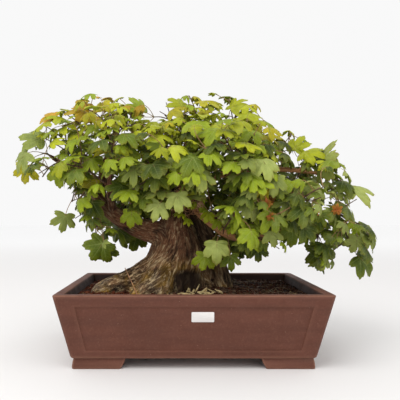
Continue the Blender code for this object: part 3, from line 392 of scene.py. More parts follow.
# The bud at a stem's tip: its radii in shares of the stem's, and the millimetres between them
BUD_SIZES = (1.25, 1.0, 0.25)
BUD_STEP = 1.3
LOBE_WIDTH = 0.4
LOBE_STRETCH = (-0.06, 0.06)
LOBE_CURL = (-0.1, 0.7)
EDGE_JITTER = 0.02
EDGE_RIPPLE = 0.012
EDGE_RIPPLES = 9
EDGE_THINNING = 0.4
CURL_START = 0.45
CUP_PULL = 0.9
LOBE_TIPS = ((0, 1.0), (52, 0.98), (105, 0.67), (156, 0.15))
SHALLOW = (0.0, 0.35)
LEAF_CUP = (0.03, 0.28)
SMALL_LEAF_CUP = (0.05, 0.5)
VEIN_CREASE = 0.02
VEIN_WIDTH = 0.09
# Side veins in a leaf's length
SIDE_VEINS = 8
RIB_SHARE = 0.22

# Twigs and leaves that are added to the frame's
TWIG_SHARES = (0.3, 0.6, 0.85)
TWIG_LENGTHS = (24 * MM, 46 * MM)
# How a side twig's heading is mixed: out of its stem, along it and up, and away from the crown's middle
TWIG_AIM = (0.9, 0.5, 0.15)
TWIG_OUTWARD = (-0.2, 0.7)
# How many millimetres its bend may be lifted
TWIG_LIFTS = (-3, 5)
TWIG_RADII = (1.1 * MM, 0.65 * MM)
TWIG_TRIES = 8
TWIG_ROOM_RADIUS = 1.2 * MM
TWIG_ROOM_SIDES = 5
TWIG_CLEAR_OF_STEM = 0.35
# Leaves that are tried on each stem: how far along it, and the turn round it
MORE_LEAVES = (
    (0.97, 0), (0.97, 180), (0.55, 90), (0.55, 270), (0.8, 45), (0.25, 0), (0.25, 180), (0.42, 140),
)
MORE_TRIES = 12
MORE_LEAF_ROOM = 0.9 * MM
MORE_LEAF_SIZES = (0.55, 0.95)
MORE_LEAF_FOLD = (0.0, 0.5)
MORE_STALK_SHARE = 0.6
NEAR_LEAF = 90 * MM

# Stems that are added to the frame's: branch, how far along it and the stem's tip
MORE_STEMS = (
    ("right_high", 0.3, (46, 46, 258)), ("right_high", 0.36, (70, 10, 262)),
    ("second_trunk", 0.62, (40, 56, 262)), ("back_right", 0.45, (72, 40, 262)),
    ("back_right", 0.7, (110, 60, 232)), ("right_high", 0.62, (120, 50, 262)),
    ("back_right", 0.3, (30, 70, 246)), ("right_high", 0.86, (180, 30, 262)),
    ("left", 0.42, (-100, 40, 250)), ("back_left", 0.4, (-20, 60, 272)), ("top", 0.3, (-62, 30, 280)),
    ("right", 0.3, (62, 24, 178)), ("right", 0.44, (98, 22, 158)), ("back_right", 0.3, (62, 72, 188)),
    ("back_right", 0.55, (104, 92, 198)), ("second_trunk", 0.4, (46, 62, 216)),
    ("left_rise", 0.45, (-196, 26, 344)), ("left", 0.66, (-206, 30, 318)), ("top", 0.6, (-58, 12, 352)),
    ("top", 0.55, (32, 20, 348)), ("back_right", 0.2, (34, 98, 234)), ("back_right", 0.34, (62, 112, 214)),
    ("back_right", 0.42, (88, 112, 190)), ("back_right", 0.26, (56, 64, 238)),
    ("left_rise", 0.97, (-104, 8, 404)), ("top", 0.95, (30, -2, 410)), ("top", 0.88, (-50, 2, 396)),
)
MORE_STEM_LIFT = 0.1

# Fillings of the crown with leaves: how many spots are tried, and the leaves' sizes
FILLS = ((5200, (0.55, 0.95)), (6000, (0.34, 0.6)))
FILL_REACH = (9 * MM, 42 * MM)
FILL_JITTER = 0.45
# The first and last share of a stem that a filling leaf may grow from, and how many there are
FILL_ROOT_SHARES = (0.25, 1, 6)
# Where the background shows between the crown and its leftmost leaves, as x and z in the plane y = 0
OPEN_BAY = ((-274, 327), (-251, 337), (-234, 332), (-237, 316), (-264, 311))
CROWN_LIMITS = ((-308, 320), (-165, 206), (0, 435))

# Soil's top
SOIL_GRID = (150, 104)
SOIL_LUMP = 0.9 * MM
SOIL_GRAINS = (7 * MM, 3 * MM)
# No crumb or strand lies nearer the trunk's middle than the root of this share of its foot
TRUNK_FOOT_SHARE = 0.8
# How crumbs vary: the logarithm of their size, the largest of them, each width, corner and their sinking in
CRUMB_SIZE_SPREAD = (-0.15, 0.42)
CRUMB_LARGEST = 2.1
CRUMB_WIDTHS = (0.65, 1.2)
CRUMB_CORNERS = (0.8, 1.15)
CRUMB_LIFTS = (0, 0.55)
# How far from the middle the crumbs turn from warm to dark, and how dark a tint may get
CRUMB_WARMTH_REACH = 260 * MM
CRUMB_SHADE = (0.005, 0.003, 0.002)
CRUMB_SHADES = (0, 0.55)
CRUMB_PALE_SHARE = 0.03
CRUMB_PALENESS = (0.2, 0.6)
STRAND_COUNT = 260
STRANDS_AT_RIGHT = 0.7
STRAND_POINTS = 7
STRAND_SIDES = 5
STRAND_WANDER = 0.8
# Of the strands, in millimetres: how far each step reaches, the radius and the height over the soil
STRAND_REACHES = (3, 8)
STRAND_RADII = (0.22, 0.55)
STRAND_LIFTS = (0.6, 3.2)
CHIP_COUNT = 44
CHIP_SIDES = 8
# In millimetres: where the chips lie in front of the trunk, and every third, steeper one nearer to it
CHIPS_ACROSS = (-36, 44)
CHIPS_DEEP = (-112, -58)
STEEP_CHIPS_ACROSS = (-16, 46)
STEEP_CHIPS_DEEP = (-74, -56)
# In millimetres: a chip's half length and half width, and how high its middle lies over the soil
CHIP_LENGTHS = (3, 8)
CHIP_WIDTHS = (1.2, 2.8)
CHIP_LIFTS = (1.4, 3.2)
# The chips' level and size at each loop of points, from the bottom to the top
CHIP_LOOPS = ((-0.5, 0.8), (-0.2, 1.0), (0.3, 1.0), (0.5, 0.85))

# Wood
LIMB_STEPS = 6
LIMB_SIDES = 14
FINE_TRUNK_SIDES = 84
COLLAR_SIDES = 8
LIMB_REACH = 14 * MM
BARK_BLEND = 3 * MM
LEAST_SHARE = 0.02
DEEPEST_IN = 10 * MM
# Lines that the fibres follow where a limb or root runs out of the trunk
BARK_FLOWS = {
    "left": (
        (-62, -14, 118, 36), (-50, -10, 150, 31), (-42, -5, 176, 27), (-56, -3, 195, 23), (-84, -7, 202, 18),
        (-112, -9, 216, 14),
    ),
    "root": (
        (-22, -6, 210, 20), (-32, -8, 165, 32), (-58, -12, 132, 36), (-96, -17, 113, 27),
        (-128, -20, 105, 19),
    ),
}
# Height in millimetres at which the hollow at the trunk's foot, deepened and painted with shade, ends, and
# how far it takes to fade
HOLLOW_TOP = 138
HOLLOW_FALL = 14
# The way round the trunk in which that hollow is deepened and painted with shade, and how wide it is
SHADED_HOLLOW_DIRECTION = math.radians(-38)
SHADED_HOLLOW_WIDTH = math.radians(42)
HOLLOW_DEEPER = 9 * MM
OLD_RADIUS = 38 * MM
# The relief that lies level with the plain wood, and the size of the patches of moss and red bark
MIDDLE_RELIEF = 0.45
PATCH_STEP = 26 * MM
# Heights in millimetres: where the bark turns red, where the moss ends and how far it fades, and where the
# wood behind the trunk gets its painted shade
RED_HEIGHTS = (120, 200)
MOSS_TOP = 160
MOSS_FALL = 40
SHADE_HEIGHTS = (98, 122)
COLLAR_RADII = (4.2 * MM, 2.6 * MM, 1.7 * MM)
WOOD_TRIANGLES = 190000
YOUNG_BRANCHES = (
    "right", "right_front", "right_high", "right_high_front", "right_high_back", "back_right", "front",
)
RED_BRANCHES = ("left", "left_rise", "left_front", "left_back", "back_left")
# Limbs at the back of the trunk that are painted with shade
SHADED_BRANCHES = ("second_trunk", "between_trunks", "back_left", "back_right")
MORE_LIMBS = {"between_trunks": ((-16, 14, 236, 9), (2, 22, 196, 13), (20, 26, 150, 14), (30, 26, 112, 14))}
# The burl's place, and how far in millimetres its dead twigs start from it
BURL = (0, -22, 238)
BURL_SPREAD = (6, 4, 8)
DEAD_TWIGS = 50
DEAD_TWIG_STEPS = 5
DEAD_TWIG_TAPER = 0.13
KINK = 0.28
# In millimetres: how far a dead twig reaches, its radius and the length of the leaves on it
DEAD_TWIG_REACHES = (14, 36)
DEAD_TWIG_RADII = (0.45, 0.95)
BURL_LEAVES = (8, 13)
# The sawn stub: x, y, z and radius along it
STUB = (
    (30, -11, 214, 6.6), (20, -12, 229, 7.2), (12, -13, 241, 7.8), (10.5, -13.2, 243.5, 7.4),
    (10, -13.3, 244, 6.6),
)
STUB_SIDES = 18
# Tips of the young shoots
YOUNG_SHOOTS = (
    (105, -120, 239), (113, -120, 220), (180, -100, 229), (216, -90, 230), (121, -60, 246), (222, -60, 231),
)
BLADES_A_SHOOT = 7
SHOOT_LEAVES = (6, 11)
YOUNG_TILT = 0.4
YOUNG_FACING = Vector((0, -0.5, 0))
# Small leaves on the right branch: the stalk's foot in the wood, its tip, the blade's way and its length
BRANCH_LEAVES = (
    ((30, -14, 212), (28, -38, 226), (-0.5, -0.4, -0.7), 19),
    ((36, -14, 208), (42, -40, 214), (0.3, -0.4, -0.8), 18),
    ((24, -12, 220), (20, -36, 236), (0.6, -0.4, -0.6), 16),
    ((60, -16, 192), (62, -36, 206), (0.4, -0.4, -0.7), 16),
)
DEAD_TWIG_ROUTES = (((-80, -100, 97), (-88, -86, 112), (-104, -60, 138)),)

# Stage
FLOOR_REACH = 12
# How far in metres from the pot the floor's painted shade starts to fade and is gone
FLOOR_SHADE_FADE = (0.8, 4.0)
FAR_FLOOR = (0.985, 0.985, 0.985)
LAMP_AIM = Vector((0, 0, 0.2))
# Lamps: name, place and size in metres
LAMPS = (("key_lamp", (-0.7, -1.0, 1.7), 1.4), ("fill_lamp", (1.1, -1.2, 0.9), 1.2))
SENSOR_WIDTH = 36
FOCAL_LENGTH = 44.514
CAMERA_PLACE = (-0.026, -0.832, 0.2194)
CAMERA_SHIFT = (0.061, 0.043)


def in_metres(values):
    return Vector(values[:3]) * MM


def search_tree(shape):
    return BVHTree.FromPolygons(shape[0], shape[1])


# Routes, tubes and the growth of stems and leaves, as in the frame's own model


def tube_frames(path):
    """A side and an up vector at each point of a path, turned as little as possible from one to the next."""
    runs = [(b - a).normalized() for a, b in zip(path, path[1:])]
    along = [runs[0]] + [(a + b).normalized() for a, b in zip(runs, runs[1:])] + [runs[-1]]
    reference = UP if abs(along[0].z) < NEARLY_UPRIGHT else ACROSS
    side = along[0].cross(reference).normalized()
    frames = []
    for run in along:
        side = (side - run * side.dot(run)).normalized()
        frames.append((side, run.cross(side)))
    return frames


def ring(middle, frame, radius, sides):
    side, up = frame
    turns = [2 * math.pi * step / sides for step in range(sides)]
    return [middle + (side * math.cos(turn) + up * math.sin(turn)) * radius for turn in turns]


def tube(rings, split=True):
    """A closed shape through rings with the same number of points, with flat ends."""
    sides = len(rings[0])
    corners = [corner for points in rings for corner in points]
    faces = [tuple(range(sides)), tuple(range(len(corners) - sides, len(corners)))]
    for row in range(len(rings) - 1):
        for step in range(sides):
            after = (step + 1) % sides
            low, high = row * sides, (row + 1) * sides
            if split:
                faces.append((low + step, low + after, high + after))
                faces.append((low + step, high + after, high + step))
            else:
                faces.append((low + step, low + after, high + after, high + step))
    return corners, faces


def round_tube(path, radii, sides, split=True):
    """A closed tube along a path with a radius at each point."""
    return tube([ring(*row, sides) for row in zip(path, tube_frames(path), radii)], split)


def tapered_tube(points, sides, split=True):
    """A tube through x, y, z and radius in millimetres."""
    path, radii = [in_metres(point) for point in points], [point[3] * MM for point in points]
    return round_tube(path, radii, sides, split)


def along_path(path, share):
    """The point and the direction at this share of a path's length."""
    runs = [(b - a).length for a, b in zip(path, path[1:])]
    left = share * sum(runs)
    for start, end, run in zip(path, path[1:], runs):
        if left <= run or end is path[-1]:
            return start.lerp(end, min(left / run, 1.0)), (end - start).normalized()
        left -= run
    raise ValueError("a path needs at least two points")


def arched(start, end, lift, share):
    """A point on the arched line from start to end, whose middle is raised by lift times the span."""
    bend = (start + end) / 2 + UP * (2 * lift * (end - start).length)
    return start.lerp(bend, share).lerp(bend.lerp(end, share), share)


@dataclass
class Spray:
    """A leafy shoot: its route from inside the branch to its tip, and what grows on it."""

    name: str
    collar: tuple
    path: list
    shape: tuple
    leaves: list


@dataclass
class Leaf:
    """A blade's place, size and form, and the point inside the stem where its stalk ends."""

    base: Vector
    along: Vector
    normal: Vector
    root: Vector
    length: float
    droop: float
    fold: float
    waves: tuple
    tone: str = ""


def branch_point(branch, share):
    points = BRANCHES[branch]
    place, _ = along_path([in_metres(point) for point in points], share)
    nearest = min(points, key=lambda point: (in_metres(point) - place).length)
    return place, nearest[3] * MM


def spray_route(branch, share, tip, lift):
    """The collar's and the stem's rings, and the stem's middle line."""
    start, thickness = branch_point(branch, share)
    end = in_metres(tip)
    span = (end - start).length
    collar_end = min((thickness + COLLAR_LENGTH) / span, LONGEST_COLLAR_SHARE)
    stem_start = collar_end + GAP / span
    steps = [step / SPRAY_SPANS for step in range(SPRAY_SPANS + 1)]
    shares = [0.0, collar_end] + [stem_start + (1 - stem_start) * step for step in steps]
    path = [arched(start, end, lift, value) for value in shares]
    radii = [SPRAY_BASE_RADIUS] * 2
    radii += [SPRAY_BASE_RADIUS + (SPRAY_TIP_RADIUS - SPRAY_BASE_RADIUS) * step for step in steps]
    frames = tube_frames(path)
    frames[0] = frames[1] = frames[2]
    rings = [ring(*row, SPRAY_SIDES) for row in zip(path, frames, radii)]
    return tube(rings[:2]), path[2:], tube(rings[2:])


def grow_stems(wood):
    """Every spray's stem. One whose way is blocked is bent clear."""
    sprays = []
    blocked = [search_tree(shape) for shape in wood]
    stems = []
    for side, rows in SPRAYS.items():
        for number, (branch, share, tip, lift) in enumerate(rows, 1):
            for shift in STEM_BENDS:
                collar, path, shape = spray_route(branch, share, tip, lift + shift)
                collar_tree, stem_tree = search_tree(collar), search_tree(shape)
                meets_wood = any(stem_tree.overlap(other) for other in blocked + stems)
                if not meets_wood and not any(collar_tree.overlap(other) for other in stems):
                    break
            else:
                raise ValueError(f"spray_{side}_{number} can't be bent clear of other wood")
            blocked.append(collar_tree)
            stems.append(stem_tree)
            sprays.append(Spray(f"spray_{side}_{number}", collar, path, shape, []))
    return sprays


def leaf_outline():
    """The outline in leaf lengths, from the tip down the right side to the base and up the left side."""
    right = [
        (distance * math.sin(math.radians(angle)), distance * math.cos(math.radians(angle)))
        for angle, distance in LEAF_OUTLINE
    ]
    return right + [(-x, y) for x, y in reversed(right)]


def leaf_shape(leaf, thickness=LEAF_THICKNESS, stalk_start=0.0):
    """A blade with the same triangles on both faces, and its stalk grown out of the base edge."""
    outline = leaf_outline()
    count = len(outline)
    side = leaf.along.cross(leaf.normal)
    corners = []
    for level in (thickness / 2, -thickness / 2):
        for (x, y), wave in zip(outline, leaf.waves):
            height = -leaf.droop * max(y, 0) ** 2 - leaf.fold * abs(x) + wave * math.hypot(x, y)
            height = height * leaf.length + level
            corners.append(leaf.base + (side * x + leaf.along * y) * leaf.length + leaf.normal * height)
    corners += [leaf.base + leaf.normal * thickness / 2, leaf.base - leaf.normal * thickness / 2]
    faces = []
    base_edge = count // 2 - 1
    for step in range(count):
        after = (step + 1) % count
        faces.append((2 * count, step, after))
        faces.append((2 * count + 1, count + after, count + step))
        if step != base_edge:
            faces.append((step, count + step, count + after, after))
    stalk = (leaf.base - leaf.root).normalized()
    across = (side - stalk * side.dot(stalk)).normalized() * PETIOLE_RADIUS
    up = across.cross(stalk).normalized() * PETIOLE_RADIUS
    if up.dot(leaf.normal) < 0:
        up = -up
    end = leaf.root.lerp(leaf.base, stalk_start)
    top = len(corners)
    left, right = top + 1, top + 2
    corners += [end + up, end - across - up / 2, end + across - up / 2]
    top_right, top_left = base_edge, base_edge + 1
    low_right, low_left = count + base_edge, count + base_edge + 1
    faces += [
        (top_right, top_left, top), (top_left, low_left, left), (top_left, left, top),
        (low_left, low_right, right), (low_left, right, left), (low_right, top_right, top),
        (low_right, top, right), (top, left, right),
    ]
    return corners, faces


def in_crown(corners):
    """True if the leaf stays above the pot's rim, inside the crown and clear of the wood that shows."""
    for corner in corners:
        if corner.z < LOWEST_LEAF:
            return False
        away = corner - CROWN_MIDDLE
        if (away.x / CROWN_RADII.x) ** 2 + (away.y / CROWN_RADII.y) ** 2 > CROWN_REACH ** 2:
            return False
        if not in_outline(*seen_place(corner), CROWN_OUTLINE):
            return False
    return not hides_wood(corners)


def seen_place(corner):
    """Where the corner shows from the viewing place, as x and z in millimetres in the plane y = 0."""
    scale = -VIEWING_PLACE.y / (corner.y - VIEWING_PLACE.y)
    seen = VIEWING_PLACE + (corner - VIEWING_PLACE) * scale
    return seen.x / MM, seen.z / MM


def hides_wood(corners):
    """True if a corner, or the middle between it and the last one, lies before the wood that shows."""
    spots = [*corners, *(corner.lerp(corners[-1], 0.5) for corner in corners)]
    return any(
        spot.y < BARE_WOOD_DEPTH and in_outline(*seen_place(spot), outline)
        for spot in spots for outline in BARE_WOOD
    )


def in_outline(x, z, outline):
    inside = False
    for (ax, az), (bx, bz) in zip(outline, outline[1:] + outline[:1]):
        if (az > z) != (bz > z) and x < ax + (z - az) / (bz - az) * (bx - ax):
            inside = not inside
    return inside


def bent_within(stalk, along):
    """The blade's direction, turned back towards its stalk where the bend would be too sharp."""
    if stalk.angle(along) <= SHARPEST_BEND:
        return along
    return Matrix.Rotation(SHARPEST_BEND, 3, stalk.cross(along)) @ stalk


def square_to(normal, along):
    return (normal - along * normal.dot(along)).normalized()


def drawn_form(draw):
    """A blade's droop, fold and waves."""
    waves = tuple(draw.uniform(-LEAF_WAVE, LEAF_WAVE) for _ in leaf_outline())
    return draw.uniform(*LEAF_DROOP), draw.uniform(*LEAF_FOLD), waves


def from_middle(place):
    """The way from the crown's middle to a place, in the crown's half widths."""
    return Vector([value / radius for value, radius in zip(place - CROWN_MIDDLE, CROWN_RADII)])


def outward(place):
    return from_middle(place).normalized()


def shown_leaf(row, spray, attempt):
    """A leaf at a stated place, rooted where the stem leads to it best."""
    _, base, turn, lean, roll, length, tone = row
    draw = random.Random(f"{spray.name} shown {base} {attempt}")
    turn, lean, roll = (math.radians(value + draw.uniform(-2, 2) * attempt) for value in (turn, lean, roll))
    along = Vector((math.cos(turn) * math.cos(lean), -math.sin(lean), math.sin(turn) * math.cos(lean)))
    blade = in_metres(base)
    roots = [along_path(spray.path, share)[0] for share in SHOWN_ROOT_SHARES]
    root = min(roots, key=lambda point: (blade - point).angle(along) + ROOT_NEARNESS * (blade - point).length)
    along = bent_within((blade - root).normalized(), along)
    normal = Matrix.Rotation(roll, 3, along) @ square_to(SHOWN_FACING, along)
    return Leaf(blade, along, normal, root, length * MM, *drawn_form(draw), tone)


def hung_leaf(root, base, stalk, sizes, jitter, draw):
    """A leaf that hangs from the end of its stalk and turns its face upward and outward."""
    out = outward(root)
    normal = out * draw.uniform(*OUTWARD_FACING) + FACING + jitter
    along = stalk * HUNG_ONWARD - UP * draw.uniform(*HANG) + out * HUNG_OUTWARD - jitter
    along = bent_within(stalk, square_to(along, normal.normalized()))
    droop, fold, waves = drawn_form(draw)
    length = LEAF_LENGTH * draw.uniform(*sizes)
    return Leaf(base, along, square_to(normal, along), root, length, droop, fold, waves)


def jittered(draw, most):
    return Vector([draw.uniform(-most, most) for _ in range(3)])


def spray_leaf(spray, share, turn, attempt):
    """A leaf on the spray at this share of its stem, standing out at this turn round it."""
    draw = random.Random(f"{spray.name} {share} {turn} {attempt}")
    jitter = jittered(draw, JITTER + JITTER_PER_TRY * attempt)
    root, run = along_path(spray.path, share)
    level = run.cross(UP)
    level = level.normalized() if level.length > NEARLY_LEVEL else ACROSS
    upward = level.cross(run)
    angle = math.radians(turn + draw.uniform(-TURN_SPREAD, TURN_SPREAD) * (1 + attempt / 4))
    aside, onward, outer = STALK_AIM
    stalk = level * math.cos(angle) + upward * math.sin(angle)
    stalk = (stalk * aside + run * onward + outward(root) * outer + jitter).normalized()
    base = root + stalk * draw.uniform(*PETIOLE_LENGTHS)
    return hung_leaf(root, base, stalk, LEAF_SIZES, jitter, draw)


def leaf_tree(leaf):
    """The leaf made thicker for a gap, without the end of its stalk that lies in its own stem."""
    return search_tree(leaf_shape(leaf, LEAF_THICKNESS + 2 * LEAF_GAP, STALK_CLEAR_OF_STEM))


class Crown:
    """What is already in the crown, to test whether another leaf has room."""

    def __init__(self, wood, sprays):
        self.wood = [search_tree(shape) for shape in (wood, *(spray.shape for spray in sprays))]
        self.placed = []

    def has_room(self, leaf):
        """False if the leaf meets wood, a stem or another leaf."""
        tree = leaf_tree(leaf)
        if any(tree.overlap(other) for other in self.wood):
            return False
        reach = leaf.length * LEAF_REACH
        return not any(
            (leaf.base - other_leaf.base).length < reach and tree.overlap(other)
            for other_leaf, other in self.placed
        )

    def add(self, spray, leaf, tree):
        spray.leaves.append(leaf)
        self.placed.append((leaf, tree))


def most_leaves(spray):
    """A long stem carries two pairs, a short one a pair and one more leaf."""
    return 4 if (spray.path[-1] - spray.path[0]).length > LONG_STEM else 3


def grow_leaves(wood, sprays):
    """The leaves that show best first, then pairs from each spray's tip back towards its base."""
    crown = Crown(wood, sprays)
    by_name = {spray.name: spray for spray in sprays}
    for row in SHOWN_LEAVES:
        spray = by_name[f"spray_{row[0]}"]
        tried = (shown_leaf(row, spray, attempt) for attempt in range(LEAF_TRIES))
        leaf = next(leaf for leaf in tried if crown.has_room(leaf))
        crown.add(spray, leaf, leaf_tree(leaf))
    for pair, share in enumerate(LEAF_PAIRS):
        for turn in (0, 180):
            for spray in sprays:
                if len(spray.leaves) >= most_leaves(spray):
                    continue
                for attempt in range(LEAF_TRIES):
                    leaf = spray_leaf(spray, share, turn + 90 * (pair % 2), attempt)
                    if in_crown(leaf_shape(leaf)[0]) and crown.has_room(leaf):
                        crown.add(spray, leaf, leaf_tree(leaf))
                        break
    return crown


def trunk_ring(row, sides=TRUNK_SIDES):
    """One ring of the trunk: an oval with ridges and with a hollow at the front."""
    height, left, right, front, back = row
    low, high = TRUNK_OUTLINE[0][0], TRUNK_OUTLINE[-1][0]
    middle = Vector(((left + right) / 2, (front + back) / 2, height)) * MM
    lowness = 1 - (height - low) / (high - low)
    points = []
    for step in range(sides):
        turn = 2 * math.pi * step / sides
        ridges = sum(
            depth * math.cos(count * turn + count) for count, depth in zip(RIDGE_COUNTS, RIDGE_HEIGHTS)
        )
        hollow = HOLLOW_DEPTH * math.exp(-(((turn - HOLLOW_DIRECTION - 2 * math.pi) / HOLLOW_WIDTH) ** 2))
        reach = 1 + (ridges - hollow) * lowness
        wide = (right - left) / 2 * MM * reach
        deep = (back - front) / 2 * MM * reach
        points.append(middle + Vector((wide * math.cos(turn), deep * math.sin(turn), 0)))
    return points


def coarse_wood():
    """The wood as the frame has it, which the leaves keep clear of."""
    shapes = [tube([trunk_ring(row) for row in TRUNK_OUTLINE])]
    shapes += [tapered_tube(points, ROOT_SIDES) for points in ROOTS]
    return shapes + [
        tapered_tube(points, MAIN_BRANCH_SIDES if name in MAIN_BRANCHES else THIN_BRANCH_SIDES)
        for name, points in BRANCHES.items()
    ]


# Settings that a user would change


def shade(red, green, blue):
    """A colour of 0 to 255 a channel, as it shows on a screen, in linear values."""
    return tuple(
        value / 12.92 if value <= 0.04045 else ((value + 0.055) / 1.055) ** 2.4
        for value in (red / 255, green / 255, blue / 255)
    )


def colour(name, description, default):
    return FloatVectorProperty(
        name=name, description=description, default=default, subtype="COLOR", size=3, min=0, max=1
    )


def length(name, description, default):
    return FloatProperty(
        name=name, description=description, default=default, min=0, subtype="DISTANCE", unit="LENGTH"
    )


class PotLook(bpy.types.PropertyGroup):
    """Colours and unevenness of the pot and what is fixed to it."""

    clay: colour("Clay", "The fired clay's main colour", shade(100, 60, 47))
    clay_dark: colour("Dark clay", "Smears and hollows in the clay", shade(84, 50, 39))
    # Worn rim and feet, lighter grit, and painted highlight lines on the walls' panel edges
    clay_worn_and_highlit: colour("Worn clay", "Edges of the rim, panels and feet", shade(132, 92, 74))
    clay_wet: colour("Damp clay", "The inner wall above the soil", shade(46, 33, 29))
    label: colour("Label", "The blank stuck-on label", shade(230, 227, 224))
    mesh: colour("Drain mesh", "The plastic mesh over the drain holes", shade(24, 24, 24))
    unevenness: length("Unevenness", "How far the walls stray from flat", 0.35 * MM)


class SoilLook(bpy.types.PropertyGroup):
    """Colours and grain of the soil."""

    bed: colour("Bed", "Fine soil between the crumbs", shade(52, 32, 22))
    warm_crumb: colour("Warm crumb", "Reddish crumbs, mostly at the left", shade(118, 60, 36))
    dark_crumb: colour("Dark crumb", "Dark brown crumbs, mostly at the right", shade(66, 38, 24))
    strand: colour("Root strand", "Fine roots that lie on the soil", shade(128, 96, 70))
    chip: colour("Wood chip", "Pale chips of wood at the trunk's foot", shade(206, 186, 138))
    crumb_count: IntProperty(name="Crumbs", description="Number of loose crumbs", default=4200, min=0)
    crumb_size: length("Crumb size", "Usual radius of a crumb", 1.7 * MM)


class WoodLook(bpy.types.PropertyGroup):
    """Colours and relief of the bark."""

    # Also the colour of painted shade: the hollow at the trunk's foot, the wood behind the trunk and shadow
    # patches
    furrow_and_shade: colour("Furrow", "Deep gaps between the strips of bark", shade(38, 27, 19))
    strip: colour("Strip", "Strips of old bark", shade(142, 108, 76))
    # Partly weathered crests, partly painted highlight lines along the strips
    crest_and_highlight: colour("Crest", "Weathered crests of the strips", shade(220, 194, 150))
    red_bark: colour("Red bark", "Bark higher on the trunk and on the left branch", shade(122, 80, 56))
    grey_bark: colour("Grey bark", "Weathered patches low on the trunk", shade(92, 84, 76))
    moss: colour("Moss", "Golden moss low at the front", shade(164, 124, 44))
    young_bark: colour("Young bark", "Smooth bark of the thinner branches", shade(206, 146, 98))
    twig: colour("Twig", "Leafy shoots", shade(92, 62, 42))
    relief: length("Bark relief", "Depth of the furrows on the old trunk", 5 * MM)
    trunk_step: length("Trunk grain", "Mesh size on the trunk", 1.3 * MM)


class LeafLook(bpy.types.PropertyGroup):
    """Colours of the leaves."""

    young: colour("Young leaf", "Leaves at the top of the crown", shade(194, 198, 34))
    orange: colour("Turning leaf", "Yellow to orange leaves at the top left", shade(212, 158, 34))
    fresh: colour("Fresh leaf", "Bright green leaves", shade(156, 174, 38))
    middle: colour("Grown leaf", "Most leaves", shade(106, 124, 38))
    # Partly the inner leaves' own darker green, partly painted shade inside and under the crown
    dark: colour("Inner leaf", "Leaves inside and under the crown", shade(54, 72, 26))
    # Partly a grey bloom, partly painted sheen; also mixed into every leaf in patches of painted sheen
    pale: colour("Pale leaf", "Leaves with a grey bloom at the front", shade(184, 194, 110))
    under: colour("Underside", "Mixed into every leaf's lower face", shade(150, 168, 92))
    vein: colour("Vein", "Main and side veins", shade(198, 208, 122))
    stalk: colour("Stalk", "Leaf stalks", shade(152, 112, 66))
    shoot: colour("Young shoot", "Red-brown buds and shoots", shade(196, 88, 56))


class StageLook(bpy.types.PropertyGroup):
    """The floor and the lights."""

    # The floor's colour near the pot, darker than the far floor as painted shade
    floor: colour("Floor", "The plain floor", (0.80, 0.785, 0.775))
    sky: FloatProperty(name="Sky", description="Strength of the even light", default=0.945, min=0)
    key: FloatProperty(name="Key", description="Power of the large lamp", default=20, min=0, unit="POWER")
    fill: FloatProperty(name="Fill", description="Power of the front lamp", default=4, min=0, unit="POWER")


# Finishes


class Finish:
    """A material and short calls for the nodes that the finishes use."""

    def __init__(self, name):
        self.material = bpy.data.materials.new(name)
        self.material.use_nodes = True
        self.tree = self.material.node_tree
        self.tree.nodes.clear()

    def node(self, kind, inputs=None, **settings):
        made = self.tree.nodes.new("ShaderNode" + kind)
        for name, value in settings.items():
            setattr(made, name, value)
        for socket, value in (inputs or {}).items():
            self.feed(made.inputs[socket], value)
        return made

    def feed(self, socket, value):
        if isinstance(value, bpy.types.NodeSocket):
            self.tree.links.new(value, socket)
        elif socket.type == "RGBA":
            socket.default_value = (*value[:3], 1)
        else:
            socket.default_value = value

    def place(self):
        return self.node("TexCoord").outputs["Object"]

    def attribute(self, name, output="Fac"):
        return self.node("Attribute", attribute_name=name).outputs[output]

    def math(self, operation, a, b=0.0, clamp=False):
        return self.node("Math", {0: a, 1: b}, operation=operation, use_clamp=clamp).outputs[0]

    def times(self, value, *factors):
        for factor in factors:
            value = self.math("MULTIPLY", value, factor)
        return value

    def scaled(self, vector, sizes):
        return self.node("VectorMath", {0: vector, 1: sizes}, operation="MULTIPLY").outputs[0]

    def noise(self, vector, scale=1.0, detail=3.0, roughness=0.5):
        inputs = {"Vector": vector, "Scale": scale, "Detail": detail, "Roughness": roughness}
        return self.node("TexNoise", inputs).outputs["Fac"]

    def ramp(self, value, low, high, start=0.0, end=1.0):
        """The value carried smoothly from low..high to start..end."""
        inputs = {"Value": value, "From Min": low, "From Max": high, "To Min": start, "To Max": end}
        return self.node("MapRange", inputs, interpolation_type="SMOOTHSTEP").outputs["Result"]

    def blend(self, factor, a, b, mode="MIX"):
        made = self.node("Mix", data_type="RGBA", blend_type=mode)
        self.feed(made.inputs[0], factor)
        self.feed(made.inputs[6], a)
        self.feed(made.inputs[7], b)
        return made.outputs[2]

    def layered(self, base, *layers):
        """The base colour with each layer's tint blended over it by the layer's share."""
        for share, tint in layers:
            base = self.blend(share, base, tint)
        return base

    def bump(self, height, distance, strength=1.0):
        inputs = {"Height": height, "Distance": distance, "Strength": strength}
        return self.node("Bump", inputs).outputs["Normal"]

    def done(self, base, roughness, normal=None, through=None, through_share=0.0, shine=0.5):
        """Ends the tree with a Principled shader, mixed with a Translucent one where light comes through."""
        inputs = {"Base Color": base, "Roughness": roughness, "Specular IOR Level": shine}
        if normal is not None:
            inputs["Normal"] = normal
        shader = self.node("BsdfPrincipled", inputs).outputs[0]
        if through is not None:
            thin = self.node("BsdfTranslucent", {"Color": through}).outputs[0]
            mixed = self.node("MixShader", {0: through_share, 1: shader, 2: thin})
            shader = mixed.outputs[0]
        self.node("OutputMaterial", {"Surface": shader})
        return self.material


